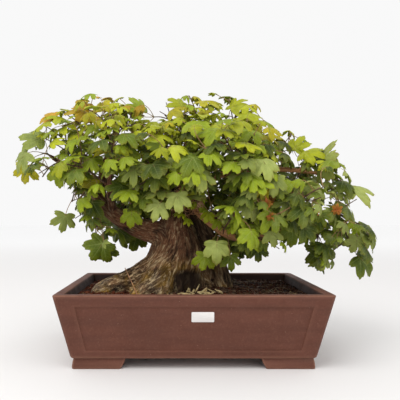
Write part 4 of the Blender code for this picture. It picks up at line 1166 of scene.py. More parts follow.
def clay_finish(look):
    made = Finish("fired_clay")
    place = made.place()
    smear = made.noise(made.scaled(place, (12, 12, 64)), detail=4)
    mottle = made.noise(place, scale=52, detail=6, roughness=0.65)
    grain = made.noise(place, scale=1400, detail=2)
    grit = made.noise(place, scale=330, detail=4, roughness=0.7)
    specks = made.node("TexVoronoi", {"Vector": place, "Scale": 130}).outputs["Distance"]
    base = made.layered(
        look.clay_dark,
        (made.ramp(smear, 0.3, 0.7, 0.35, 1.0), look.clay),
        (made.ramp(mottle, 0.5, 0.75, 0, 0.35), look.clay_dark),
        (made.ramp(grit, 0.5, 0.7, 0, 0.18), look.clay_worn_and_highlit),
        (made.ramp(grit, 0.5, 0.32, 0, 0.3), look.clay_dark),
        (made.ramp(specks, 0.05, 0.03, 0, 0.7), shade(190, 160, 140)),
        # Worn rim and feet, and painted highlight lines along the walls' panel edges
        (made.times(made.attribute("wear"), made.ramp(mottle, 0.25, 0.6, 0.3, 0.8)), look.clay_worn_and_highlit),
        (made.times(made.attribute("damp"), made.ramp(smear, 0.2, 0.7, 1.0, 0.82)), look.clay_wet),
    )
    relief = made.bump(made.math("ADD", made.times(smear, 0.7), made.times(grain, 0.3)), 0.5 * MM, 0.5)
    return made.done(base, made.ramp(mottle, 0.3, 0.7, 0.58, 0.76), relief, shine=0.25)


def label_finish(look):
    made = Finish("label_paper")
    place = made.place()
    cloud = made.noise(place, scale=90, detail=3)
    base = made.blend(made.ramp(cloud, 0.3, 0.8, 0, 0.12), look.label, shade(196, 190, 180))
    fibre = made.noise(place, scale=2500, detail=2)
    return made.done(base, made.ramp(cloud, 0.3, 0.7, 0.34, 0.46), made.bump(fibre, 0.05 * MM, 0.3))


def mesh_finish(look):
    """Black plastic netting, as a weave of raised threads."""
    made = Finish("plastic_netting")
    threads = made.math("MAXIMUM", *(
        made.node("TexWave", {"Vector": made.place(), "Scale": 160}, bands_direction=axis).outputs["Fac"]
        for axis in "XY"
    ))
    base = made.blend(made.ramp(threads, 0.5, 0.9), shade(6, 6, 6), look.mesh)
    return made.done(base, made.ramp(threads, 0.4, 0.9, 0.8, 0.45), made.bump(threads, 0.6 * MM))


def bed_finish(look):
    made = Finish("soil_bed")
    place = made.place()
    lumps = made.noise(place, scale=260, detail=5, roughness=0.65)
    drift = made.noise(place, scale=14, detail=2)
    base = made.blend(made.ramp(lumps, 0.35, 0.65), shade(30, 21, 17), look.bed)
    base = made.blend(made.ramp(drift, 0.4, 0.62, 0, 0.4), base, look.warm_crumb)
    return made.done(base, made.ramp(lumps, 0.3, 0.7, 0.96, 0.84), made.bump(lumps, 1.2 * MM), shine=0.15)


def crumb_finish():
    """Each crumb's own tint, mottled by a fine grain."""
    made = Finish("soil_crumb")
    grain = made.noise(made.place(), scale=900, detail=4, roughness=0.6)
    base = made.blend(made.ramp(grain, 0.3, 0.7, 0.5, 0), made.attribute("tint", "Color"), shade(20, 14, 10))
    return made.done(base, made.ramp(grain, 0.3, 0.7, 0.93, 0.85), made.bump(grain, 0.4 * MM), shine=0.15)


def bark_finish(look):
    made = Finish("old_bark")
    place = made.place()
    grain = made.attribute("grain", "Vector")
    relief, lines, red = (made.attribute(name) for name in ("relief", "lines", "red"))
    fibre = made.noise(made.scaled(grain, (620, 620, 34)), detail=3, roughness=0.6)
    flakes = made.noise(made.scaled(grain, (330, 330, 80)), detail=5, roughness=0.72)
    mossy = made.noise(place, scale=42, detail=4)
    weathered = made.noise(place, scale=30, detail=3)
    # Noises for patches of painted light on the crests and of painted shadow
    light = made.noise(place, scale=24, detail=3)
    shadow = made.noise(made.scaled(place, (1, 1, 0.7)), scale=40, detail=2)
    grey = made.times(made.ramp(weathered, 0.5, 0.66, 0, 0.62), made.ramp(red, 0, 1, 1.0, 0.1))
    # Crest lines, partly weathered and partly painted highlight, brighter in the patches of painted light
    crest_and_highlight = made.times(made.ramp(lines, 0.25, 0.75), made.ramp(light, 0.35, 0.65, 0.35, 1.0))
    base = made.layered(
        look.furrow_and_shade,
        (made.ramp(relief, 0.22, 0.66), look.strip),
        (made.times(red, made.ramp(relief, 0.1, 0.5)), look.red_bark),
        (grey, look.grey_bark),
        (made.times(made.attribute("moss"), made.ramp(mossy, 0.36, 0.58), 0.85), look.moss),
        (made.ramp(shadow, 0.5, 0.66, 0, 0.55), look.furrow_and_shade),
        (made.times(crest_and_highlight, made.ramp(red, 0, 1, 0.95, 0.5)), look.crest_and_highlight),
        (made.times(made.ramp(flakes, 0.53, 0.65, 0, 0.62), made.ramp(red, 0, 1, 1.0, 0.4)), look.crest_and_highlight),
        (made.ramp(flakes, 0.48, 0.36, 0, 0.7), look.furrow_and_shade),
        (made.times(made.attribute("young"), 0.8), look.young_bark),
        # Painted shade in the hollow at the trunk's foot and on the wood behind the trunk
        (made.times(made.attribute("dark"), 0.94), look.furrow_and_shade),
        (made.ramp(fibre, 0.56, 0.36, 0, 0.5), look.furrow_and_shade),
    )
    height = made.math("ADD", fibre, flakes)
    return made.done(base, made.ramp(lines, 0.2, 0.8, 0.92, 0.8), made.bump(height, 0.6 * MM), shine=0.2)


def twig_finish(name, tint, dark):
    made = Finish(name)
    place = made.place()
    grain = made.noise(place, scale=420, detail=4)
    rings = made.noise(made.scaled(place, (60, 60, 60)), detail=2)
    base = made.blend(made.ramp(grain, 0.35, 0.65), dark, tint)
    base = made.blend(made.ramp(rings, 0.45, 0.7, 0, 0.35), base, shade(92, 104, 46))
    return made.done(base, made.ramp(grain, 0.3, 0.7, 0.6, 0.45), made.bump(grain, 0.25 * MM))


def vein_mask(made, x, y):
    """Main veins along the lobes and side veins off the nearest of them, from 0 to 1."""
    nearest, follow, mask = None, None, None
    for angle in MAIN_VEINS:
        sine, cosine = math.sin(math.radians(angle)), math.cos(math.radians(angle))
        along = made.math("ADD", made.times(x, sine), made.times(y, cosine))
        aside = made.math("ABSOLUTE", made.math("SUBTRACT", made.times(x, cosine), made.times(y, sine)))
        aside = made.math("ADD", aside, made.times(made.math("LESS_THAN", along, 0), 9.0))
        width = made.math("SUBTRACT", 0.026, made.times(along, 0.019))
        line = made.math("SUBTRACT", 1.0, made.math("DIVIDE", aside, width), clamp=True)
        if mask is None:
            nearest, follow, mask = aside, along, line
            continue
        step = made.times(made.math("SUBTRACT", along, follow), made.math("LESS_THAN", aside, nearest))
        follow = made.math("ADD", follow, step)
        nearest = made.math("MINIMUM", nearest, aside)
        mask = made.math("MAXIMUM", mask, line)
    phase = made.math("SUBTRACT", follow, made.times(nearest, 0.7))
    wave = made.math("COSINE", made.times(phase, 2 * math.pi * SIDE_VEINS))
    return made.math("MAXIMUM", mask, made.times(made.ramp(wave, 0.86, 1.0), 0.45))


def leaf_finish(name, look, under):
    made = Finish(name)
    x, y, edge = made.node("SeparateXYZ", {0: made.attribute("blade", "Vector")}).outputs[:3]
    veins = vein_mask(made, x, y)
    place = made.place()
    cloud = made.noise(place, scale=120, detail=3)
    spots = made.noise(place, scale=900, detail=3)
    drift = made.noise(place, scale=46, detail=2)
    tint = made.attribute("leaf_colour", "Vector")
    rim = made.times(made.ramp(edge, 0.86, 1.0), made.ramp(cloud, 0.45, 0.62, 0.1, 0.75))
    base = made.layered(
        tint,
        (made.ramp(cloud, 0.35, 0.7, 0, 0.5), made.blend(1.0, tint, (0.55, 0.6, 0.5), "MULTIPLY")),
        # Pale patches, partly bloom and partly painted sheen
        (made.ramp(drift, 0.5, 0.75, 0, 0.28), look.pale),
        (made.times(rim, made.attribute("scorch")), shade(150, 84, 40)),
        (made.ramp(edge, 0.5, 1.0, 0, 0.16), look.young),
        (made.times(veins, 0.36), look.vein),
    )
    height = made.math("SUBTRACT", made.times(spots, 0.25), made.times(veins, 0.5))
    roughness = (0.38, 0.5)
    if under:
        base = made.blend(0.5, base, look.under)
        height = made.times(height, -1.0)
        roughness = (0.62, 0.72)
    through = made.blend(0.5, base, look.young)
    return made.done(
        base, made.ramp(cloud, 0.3, 0.7, *roughness), made.bump(height, 0.6 * MM, 0.7), through, 0.34, 0.2
    )


def floor_finish(look):
    made = Finish("plain_floor")
    cloud = made.noise(made.place(), scale=3, detail=2)
    base = made.blend(made.ramp(cloud, 0.3, 0.7, 0, 0.02), look.floor, (0.8, 0.8, 0.8))
    flat = made.scaled(made.place(), (1, 1, 0))
    away = made.node("VectorMath", {0: flat}, operation="LENGTH").outputs["Value"]
    # Darker near the pot as painted shade, fading to the lighter far floor
    return made.done(made.blend(made.ramp(away, *FLOOR_SHADE_FADE), base, FAR_FLOOR), 0.9)


# Meshes


def joined(shapes):
    """One list of corners and faces from several shapes."""
    corners, faces = [], []
    for shape_corners, shape_faces in shapes:
        first = len(corners)
        corners += [tuple(corner) for corner in shape_corners]
        faces += [tuple(first + index for index in face) for face in shape_faces]
    return corners, faces


def new_piece(name, shape, materials, sharp=None):
    """A mesh object at the pot's place, smooth but for edges sharper than the angle."""
    mesh = bpy.data.meshes.new(name)
    mesh.from_pydata([tuple(corner) for corner in shape[0]], [], [tuple(face) for face in shape[1]])
    bm = bmesh.new()
    bm.from_mesh(mesh)
    bmesh.ops.recalc_face_normals(bm, faces=bm.faces)
    bm.to_mesh(mesh)
    bm.free()
    for material in materials:
        mesh.materials.append(material)
    obj = bpy.data.objects.new(name, mesh)
    obj.location = POT_PLACE
    bpy.context.scene.collection.objects.link(obj)
    smooth(obj, sharp)
    return obj


def smooth(obj, sharp=None):
    obj.data.shade_smooth()
    if sharp is not None:
        obj.data.set_sharp_from_angle(angle=math.radians(sharp))


def add_modifier(obj, kind, **settings):
    made = obj.modifiers.new(kind.lower(), kind)
    for name, value in settings.items():
        setattr(made, name, value)


def apply_modifiers(obj):
    graph = bpy.context.evaluated_depsgraph_get()
    old = obj.data
    obj.data = bpy.data.meshes.new_from_object(obj.evaluated_get(graph))
    obj.modifiers.clear()
    name = old.name
    bpy.data.meshes.remove(old)
    obj.data.name = name


def cut(obj, others, operation):
    """Joins the other objects to this one, or cuts them from it."""
    group = bpy.data.collections.new(f"{obj.name}_others")
    bpy.context.scene.collection.children.link(group)
    for other in others:
        bpy.context.scene.collection.objects.unlink(other)
        group.objects.link(other)
    add_modifier(
        obj, "BOOLEAN", operation=operation, operand_type="COLLECTION", collection=group, solver="MANIFOLD"
    )
    apply_modifiers(obj)
    for other in others:
        bpy.data.meshes.remove(other.data)
    bpy.data.collections.remove(group)


def vectors(items, field):
    """A row of three numbers for each item of a mesh."""
    values = np.empty(len(items) * 3)
    items.foreach_get(field, values)
    return values.reshape(-1, 3)


def set_numbers(mesh, name, values, kind="FLOAT"):
    """Stores a number, vector or colour for each vertex, for the finish to read."""
    layer = mesh.attributes.new(name, kind, "POINT")
    field = {"FLOAT": "value", "FLOAT_VECTOR": "vector", "FLOAT_COLOR": "color"}[kind]
    layer.data.foreach_set(field, np.asarray(values, np.float32).ravel())


def finished(obj, slot, *nodes):
    """The piece rides on the object's only body, and stands for the nodes named."""
    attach(obj, "root")
    if nodes:
        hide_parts(*nodes)
    return obj


def smooth_run(points, steps):
    """The rows of a limb with rounded bends between them."""
    rows = np.array(points, float)
    padded = np.vstack([2 * rows[0] - rows[1], rows, 2 * rows[-1] - rows[-2]])
    made = []
    for index in range(len(rows) - 1):
        a, b, c, d = padded[index:index + 4]
        for step in range(steps):
            t = step / steps
            bend = (2 * a - 5 * b + 4 * c - d) * t ** 2
            made.append(0.5 * (2 * b + (c - a) * t + bend + (3 * b - a - 3 * c + d) * t ** 3))
    made.append(rows[-1])
    return np.array(made)


# Pot


def wall_size(height, inset=0.0):
    """The pot's width and depth between its walls at a height, measured inset from the outside."""
    lean = 2 * (POT_HEIGHT - height) * WALL_LEAN + 2 * inset
    return RIM_WIDTH - lean, RIM_DEPTH - lean


def pot_loop(width, depth, height, radius, shares, sink=0.0):
    """A rectangle with round corners. Its straight sides are split at the shares and pushed in by sink."""
    points = []
    for corner, (right, back) in enumerate(((1, 1), (-1, 1), (-1, -1), (1, -1))):
        middle = Vector((right * (width / 2 - radius), back * (depth / 2 - radius), height))
        for step in range(CORNER_STEPS + 1):
            turn = (corner + step / CORNER_STEPS) * math.pi / 2
            out = Vector((math.cos(turn), math.sin(turn), 0))
            points.append(middle + out * radius)
        start = points[-1]
        run = (depth if corner % 2 else width) - 2 * radius
        onward = Vector((-out.y, out.x, 0)) * run
        for share in shares:
            inward = sink if PANEL_SHARES[0] < share < PANEL_SHARES[1] else 0.0
            points.append(start + onward * share - out * inward)
    return points


def side_shares():
    """Where the walls' straight sides are split: evenly, and twice at each side of the panel."""
    low, high = PANEL_SHARES
    width = high - low - 2 * PANEL_STEP_SHARE
    inner = [low + PANEL_STEP_SHARE + width * step / PANEL_SPLITS for step in range(PANEL_SPLITS + 1)]
    before = [*CORNER_SPLITS, low - PANEL_STEP_SHARE]
    after = [high + PANEL_STEP_SHARE, *(1 - share for share in reversed(CORNER_SPLITS))]
    return before + inner + after


def quarter(steps):
    """Sine and cosine at even steps of a quarter turn, with both ends."""
    turns = [step / steps * math.pi / 2 for step in range(steps + 1)]
    return [(math.sin(turn), math.cos(turn)) for turn in turns]


def pot_body():
    shares = side_shares()
    low, high = FOOT_HEIGHT + BASE_ROUNDING, POT_HEIGHT - RIM_ROUNDING
    panel_low, panel_high = low + PANEL_BOTTOM_MARGIN, high - PANEL_TOP_MARGIN
    loops = []

    def add(height, inset=0.0, sink=0.0, radius=CORNER_RADIUS):
        loops.append(pot_loop(*wall_size(height, inset), height, radius, shares, sink))

    for sine, cosine in quarter(3):
        add(FOOT_HEIGHT + BASE_ROUNDING * (1 - cosine), BASE_ROUNDING * (1 - sine))
    below, on_panel, above, inside = WALL_LOOPS
    for height in np.linspace(low, panel_low - PANEL_STEP / 2, below)[1:]:
        add(height)
    for height in np.linspace(panel_low + PANEL_STEP / 2, panel_high - PANEL_STEP / 2, on_panel):
        add(height, sink=PANEL_DEPTH)
    for height in np.linspace(panel_high + PANEL_STEP / 2, high, above):
        add(height)
    for sine, cosine in quarter(4)[1:]:
        add(high + RIM_ROUNDING * sine, RIM_ROUNDING * (1 - cosine))
    for sine, cosine in quarter(3):
        inset = WALL_THICKNESS - INNER_ROUNDING + INNER_ROUNDING * sine
        add(POT_HEIGHT - INNER_ROUNDING * (1 - cosine), inset, radius=CORNER_RADIUS * 0.7)
    for height in np.linspace(POT_HEIGHT - 4 * MM, FLOOR_TOP, inside):
        add(height, WALL_THICKNESS, radius=CORNER_RADIUS / 2)
    return tube(loops, split=False)


def rounded_outline(points, radius, steps=4):
    """A flat outline with its corners rounded off, each by no more than its sides allow."""
    made = []
    for index, corner in enumerate(points):
        before, after = Vector(points[index - 1]), Vector(points[(index + 1) % len(points)])
        corner = Vector(corner)
        back, onward = (
            way.normalized() * min(radius, way.length * MOST_ROUNDED)
            for way in (before - corner, after - corner)
        )
        for step in range(steps + 1):
            share = step / steps
            made.append((corner + back).lerp(corner, share).lerp(corner.lerp(corner + onward, share), share))
    return made


def foot_shape(right, back):
    """An L under one corner of the pot, with slanted ends and a slightly flared, rounded base."""
    width, depth = wall_size(FOOT_HEIGHT, BASE_ROUNDING)
    loops = []
    for height, slant, flare in FOOT_PROFILE:
        long_end, short_end = FOOT_LONG_WING - slant, FOOT_SHORT_WING - slant
        outline = (
            (-flare, -flare), (long_end, -flare), (long_end, FOOT_THICKNESS),
            (FOOT_THICKNESS, FOOT_THICKNESS), (FOOT_THICKNESS, short_end), (-flare, short_end),
        )
        loops.append([
            Vector((right * (width / 2 - inward), back * (depth / 2 - sideways), height))
            for inward, sideways in rounded_outline(outline, FOOT_ROUNDING)
        ])
    return tube(loops, split=False)


def upright_cylinder(x, low, high, radius, sides):
    turns = [2 * math.pi * step / sides for step in range(sides)]
    return tube([
        [Vector((x + radius * math.cos(turn), radius * math.sin(turn), height)) for turn in turns]
        for height in (low, high)
    ])


def edge_wear_and_highlight(mesh):
    """How much each vertex lies on an outward edge, from 0 to 1."""
    bm = bmesh.new()
    bm.from_mesh(mesh)
    values = np.zeros(len(bm.verts))
    for edge in bm.edges:
        if len(edge.link_faces) != 2:
            continue
        bend = edge.calc_face_angle_signed(0.0)
        height = (edge.verts[0].co.z + edge.verts[1].co.z) / 2
        on_wall = FOOT_HEIGHT + 2 * BASE_ROUNDING < height < POT_HEIGHT - 2 * RIM_ROUNDING
        if bend > WEAR_BENDS[0]:
            # The walls' edges get a weaker tint, which paints highlight lines along the panels
            sharp = WALL_WEAR_AND_HIGHLIGHT if on_wall else 1.0
            worn = sharp * min(bend / WEAR_BENDS[1], 1.0)
            for corner in edge.verts:
                values[corner.index] = max(values[corner.index], worn)
    bm.free()
    return values


class BONSAI_OT_pot(bpy.types.Operator):
    """Model the fired pot with its panels and feet"""

    bl_idname = "bonsai.pot"
    bl_label = "Pot"

    def execute(self, context):
        look = context.scene.bonsai_pot
        clay = clay_finish(look)
        pot = new_piece("fired_pot", pot_body(), [clay])
        feet = [
            new_piece("pot_foot", foot_shape(right, back), [clay]) for right in (-1, 1) for back in (-1, 1)
        ]
        cut(pot, feet, "UNION")
        holes = [
            new_piece("drain_hole", upright_cylinder(x, 0, POT_HEIGHT, DRAIN_RADIUS, DRAIN_SIDES), [clay])
            for x in (-DRAIN_SPACING / 2, DRAIN_SPACING / 2)
        ]
        cut(pot, holes, "DIFFERENCE")
        points = vectors(pot.data.vertices, "co")
        damp = np.zeros(len(points))
        for index, point in enumerate(points):
            wide, deep = wall_size(point[2], WALL_THICKNESS * DAMP_INSET)
            inside = abs(point[0]) < wide / 2 and abs(point[1]) < deep / 2 and point[2] > FLOOR_TOP - GAP
            if inside:
                damp[index] = min(max((POT_HEIGHT - point[2]) / DAMP_FADE, 0.0), 1.0)
            if point[2] > FOOT_HEIGHT:
                wander = Vector(noise.noise_vector(Vector(point) / UNEVEN_STEP))
                points[index] += np.array(wander) * look.unevenness
                points[index][2] = min(points[index][2], POT_HEIGHT)
        pot.data.vertices.foreach_set("co", points.ravel())
        set_numbers(pot.data, "wear", edge_wear_and_highlight(pot.data))
        set_numbers(pot.data, "damp", damp)
        smooth(pot, 50)
        finished(pot, "pot", "pot")
        return {"FINISHED"}


class BONSAI_OT_pot_fittings(bpy.types.Operator):
    """Finish the drain meshes and stick the blank label on"""

    bl_idname = "bonsai.pot_fittings"
    bl_label = "Drain meshes and label"

    def execute(self, context):
        look = context.scene.bonsai_pot
        netting = mesh_finish(look)
        for side in ("left", "right"):
            plate = frame["nodes"][f"drain_mesh_{side}"]
            plate.data.materials.clear()
            plate.data.materials.append(netting)
        lean = math.atan(WALL_LEAN)
        _, depth = wall_size(LABEL_Z)
        out = Vector((0, -math.cos(lean), -math.sin(lean)))
        up = Vector((0, -math.sin(lean), math.cos(lean)))
        surface = Vector((LABEL_X, -depth / 2, LABEL_Z)) - out * PANEL_DEPTH
        wide, high = LABEL_WIDTH / 2, LABEL_HEIGHT / 2
        corners = ((-wide, -high), (wide, -high), (wide, high), (-wide, high))
        outline = rounded_outline(corners, LABEL_ROUNDING, 5)
        loops = []
        face = GAP + LABEL_THICKNESS
        for level, inset in ((-GAP, 0), (GAP + LABEL_THICKNESS * 0.8, 0), (face, LABEL_BEVEL)):
            shrink = 1 - inset / high
            loops.append([
                surface + out * level + Vector((across * shrink, 0, 0)) + up * (height * shrink)
                for across, height in outline
            ])
        label = new_piece("blank_label", tube(loops, split=False), [label_finish(look)], 35)
        finished(label, "label", "label")
        return {"FINISHED"}


# Soil


def soil_height(x, y):
    """The soil's top, as the frame has it: it falls a little to both ends and has low lumps."""
    fall = SOIL_FALL * (2 * x / RIM_WIDTH) ** 2
    lumps = SOIL_ROUGHNESS * noise.noise(Vector((x, y, 0)) / SOIL_NOISE_STEP)
    return SOIL_MIDDLE - fall + lumps


def soil_slab():
    """A closed slab with a fine uneven top."""
    width, depth = wall_size(SOIL_EDGE, WALL_THICKNESS + GAP)
    low_width, low_depth = wall_size(FLOOR_TOP + GAP, WALL_THICKNESS + GAP)
    columns, rows = SOIL_GRID
    corners = []
    for row in range(rows + 1):
        for column in range(columns + 1):
            x = (column / columns - 0.5) * width
            y = (row / rows - 0.5) * depth
            coarse = noise.noise(Vector((x, y, 1)) / SOIL_GRAINS[0])
            fine = noise.noise(Vector((x, y, 2)) / SOIL_GRAINS[1])
            corners.append((x, y, soil_height(x, y) + (coarse + fine / 2) * SOIL_LUMP))
    across = columns + 1
    faces = [
        (row * across + column, row * across + column + 1, (row + 1) * across + column + 1,
         (row + 1) * across + column)
        for row in range(rows) for column in range(columns)
    ]
    edge = list(range(columns))
    edge += [row * across + columns for row in range(rows)]
    edge += [rows * across + column for column in range(columns, 0, -1)]
    edge += [row * across for row in range(rows, 0, -1)]
    first = len(corners)
    for index in edge:
        x, y, _ = corners[index]
        corners.append((x * low_width / width, y * low_depth / depth, FLOOR_TOP + GAP))
    for step, index in enumerate(edge):
        after = (step + 1) % len(edge)
        faces.append((index, edge[after], first + after, first + step))
    faces.append(tuple(range(first, first + len(edge))))
    return corners, faces


def in_pot(draw, margin=3 * MM):
    """A place on the soil."""
    width, depth = wall_size(SOIL_EDGE, WALL_THICKNESS + margin)
    return draw.uniform(-width / 2, width / 2), draw.uniform(-depth / 2, depth / 2)


def under_trunk(x, y):
    _, left, right, front, back = (value * MM for value in TRUNK_OUTLINE[1])
    away_x = (x - (left + right) / 2) / (right - left) * 2
    away_y = (y - (front + back) / 2) / (back - front) * 2
    return away_x ** 2 + away_y ** 2 < TRUNK_FOOT_SHARE


def mixed(first, second, share):
    return tuple(a + (b - a) * share for a, b in zip(first, second))


def crumbs(look):
    """Corners, faces and tints of many small angular crumbs."""
    draw = random.Random("crumbs")
    bm = bmesh.new()
    bmesh.ops.create_icosphere(bm, subdivisions=1, radius=1)
    base = [corner.co.copy() for corner in bm.verts]
    base_faces = [[corner.index for corner in face.verts] for face in bm.faces]
    bm.free()
    corners, faces, tints = [], [], []
    for _ in range(look.crumb_count):
        x, y = in_pot(draw)
        if under_trunk(x, y):
            continue
        size = look.crumb_size * min(draw.lognormvariate(*CRUMB_SIZE_SPREAD), CRUMB_LARGEST)
        sizes = Vector([size * draw.uniform(*CRUMB_WIDTHS) for _ in range(3)])
        turn = draw.uniform(0, 6.28)
        turned = Matrix.Rotation(turn, 3, Vector((draw.random(), draw.random(), 1)).normalized())
        middle = Vector((x, y, soil_height(x, y) + size * draw.uniform(*CRUMB_LIFTS)))
        warmth = min(max(0.5 - x / CRUMB_WARMTH_REACH + draw.uniform(-0.5, 0.5), 0), 1)
        tint = mixed(look.dark_crumb, look.warm_crumb, warmth)
        tint = mixed(tint, CRUMB_SHADE, draw.uniform(*CRUMB_SHADES))
        if draw.random() < CRUMB_PALE_SHARE:
            tint = mixed(tint, look.chip, draw.uniform(*CRUMB_PALENESS))
        first = len(corners)
        for point in base:
            point = Vector([
                value * width * draw.uniform(*CRUMB_CORNERS) for value, width in zip(point, sizes)
            ])
            corners.append(middle + turned @ point)
            tints.append((*tint, 1))
        faces += [[first + index for index in face] for face in base_faces]
    return (corners, faces), tints


def strands():
    """Fine roots that lie on the soil, most of them at the right."""
    draw = random.Random("strands")
    shapes = []
    for _ in range(STRAND_COUNT):
        x, y = in_pot(draw, 12 * MM)
        x = abs(x) if draw.random() < STRANDS_AT_RIGHT else x
        if under_trunk(x, y):
            continue
        heading = draw.uniform(0, 2 * math.pi)
        reach = draw.uniform(*STRAND_REACHES) * MM
        path, radii = [], []
        thickness = draw.uniform(*STRAND_RADII) * MM
        for step in range(STRAND_POINTS):
            wide, deep = wall_size(SOIL_EDGE, WALL_THICKNESS + 2 * MM)
            x = min(max(x, -wide / 2), wide / 2)
            y = min(max(y, -deep / 2), deep / 2)
            path.append(Vector((x, y, soil_height(x, y) + draw.uniform(*STRAND_LIFTS) * MM)))
            radii.append(thickness * (1 - 0.1 * step))
            heading += draw.uniform(-STRAND_WANDER, STRAND_WANDER)
            x += math.cos(heading) * reach
            y += math.sin(heading) * reach
        if min((b - a).length for a, b in zip(path, path[1:])) > MM:
            shapes.append(round_tube(path, radii, STRAND_SIDES))
    return joined(shapes)


def chips():
    """Pale splinters and chips of wood at the front of the trunk."""
    draw = random.Random("chips")
    shapes = []
    for number in range(CHIP_COUNT):
        x = draw.uniform(*CHIPS_ACROSS) * MM
        y = draw.uniform(*CHIPS_DEEP) * MM
        half_length, half_width = draw.uniform(*CHIP_LENGTHS) * MM, draw.uniform(*CHIP_WIDTHS) * MM
        tilt = draw.uniform(-0.4, 0.4)
        lift = draw.uniform(*CHIP_LIFTS) * MM
        if number % 3 == 0:
            x, y = draw.uniform(*STEEP_CHIPS_ACROSS) * MM, draw.uniform(*STEEP_CHIPS_DEEP) * MM
            tilt = draw.uniform(-1.2, 1.2)
            lift = half_length * abs(math.sin(tilt)) + 2 * MM
        middle = Vector((x, y, soil_height(x, y) + lift))
        turn = Matrix.Rotation(draw.uniform(-0.9, 0.9), 3, "Z") @ Matrix.Rotation(tilt, 3, "Y")
        turn = turn @ Matrix.Rotation(draw.uniform(-0.5, 0.5), 3, "X")
        loops = []
        for level, shrink in CHIP_LOOPS:
            loop = []
            for step in range(CHIP_SIDES):
                angle = 2 * math.pi * (step + 0.5) / CHIP_SIDES
                ragged = 1 + 0.25 * math.sin(step * 2.4 + x * 900)
                point = Vector((
                    half_length * shrink * ragged * math.cos(angle), half_width * shrink * math.sin(angle),
                    level * half_width * 0.9,
                ))
                loop.append(middle + turn @ point)
            loops.append(loop)
        shapes.append(tube(loops, split=False))
    return joined(shapes)


class BONSAI_OT_soil(bpy.types.Operator):
    """Fill the pot with soil, crumbs, fine roots and wood chips"""

    bl_idname = "bonsai.soil"
    bl_label = "Soil"

    def execute(self, context):
        look = context.scene.bonsai_soil
        finished(new_piece("soil_bed", soil_slab(), [bed_finish(look)], 60), "soil", "soil")
        shape, tints = crumbs(look)
        crumb_piece = new_piece("soil_crumbs", shape, [crumb_finish()])
        set_numbers(crumb_piece.data, "tint", tints, "FLOAT_COLOR")
        crumb_piece.data.shade_flat()
        finished(crumb_piece, "soil")
        strand_finish = twig_finish("root_strand", look.strand, shade(70, 48, 34))
        finished(new_piece("root_strands", strands(), [strand_finish]), "soil")
        chip_finish = twig_finish("wood_chip", look.chip, shade(168, 140, 92))
        finished(new_piece("wood_chips", chips(), [chip_finish], 50), "soil")
        return {"FINISHED"}


# Wood


class Limb:
    """A limb's middle line, with its radius, directions and distance along it at each point."""

    def __init__(self, name, rows):
        rows = smooth_run(rows, LIMB_STEPS)
        self.name = name
        self.path = [Vector(row[:3]) * MM for row in rows]
        self.radii = rows[:, 3] * MM
        frames = tube_frames(self.path)
        self.points = np.array(self.path)
        self.side = np.array([side for side, _ in frames])
        self.up = np.array([up for _, up in frames])
        self.run = np.cross(self.side, self.up)
        runs = np.linalg.norm(np.diff(self.points, axis=0), axis=1)
        self.along = np.concatenate([[0], np.cumsum(runs)])

    def shape(self):
        return round_tube(self.path, self.radii, LIMB_SIDES)

    def near(self, places):
        """Indices of the places near the limb, their gap to its surface, bark coordinates and radius."""
        reach = self.radii.max() + LIMB_REACH
        low, high = self.points.min(axis=0) - reach, self.points.max(axis=0) + reach
        chosen = np.nonzero(np.all((places > low) & (places < high), axis=1))[0]
        if not len(chosen):
            return chosen, *(np.zeros(0),) * 3
        away = places[chosen, None, :] - self.points[None, :, :]
        gaps = np.linalg.norm(away, axis=2) - self.radii
        nearest = gaps.argmin(axis=1)
        away = away[np.arange(len(chosen)), nearest]
        radius = self.radii[nearest]
        sideways = np.einsum("ij,ij->i", away, self.side[nearest])
        upward = np.einsum("ij,ij->i", away, self.up[nearest])
        onward = np.einsum("ij,ij->i", away, self.run[nearest])
        spin = np.arctan2(upward, sideways)
        grain = np.stack([
            np.cos(spin) * radius, np.sin(spin) * radius, self.along[nearest] + onward
        ], axis=1)
        return chosen, gaps[np.arange(len(chosen)), nearest], grain, radius


def trunk_rows():
    return smooth_run(TRUNK_OUTLINE, LIMB_STEPS)


def near_trunk(places):
    """The gap of each place to the trunk's oval, its bark coordinates and the oval's mean radius."""
    rows = trunk_rows() * MM
    left, right, front, back = (np.interp(places[:, 2], rows[:, 0], rows[:, side]) for side in range(1, 5))
    away = places - np.stack([(left + right) / 2, (front + back) / 2, np.zeros(len(places))], axis=1)
    radius = (right - left + back - front) / 4
    reach = np.hypot(away[:, 0] / (right - left) * 2, away[:, 1] / (back - front) * 2)
    above = np.maximum(places[:, 2] - rows[-1, 0], 0)
    grain = np.stack([
        away[:, 0] / (right - left) * 2 * OLD_RADIUS, away[:, 1] / (back - front) * 2 * OLD_RADIUS, away[:, 2]
    ], axis=1)
    return (reach - 1) * radius + above * 2, grain, radius


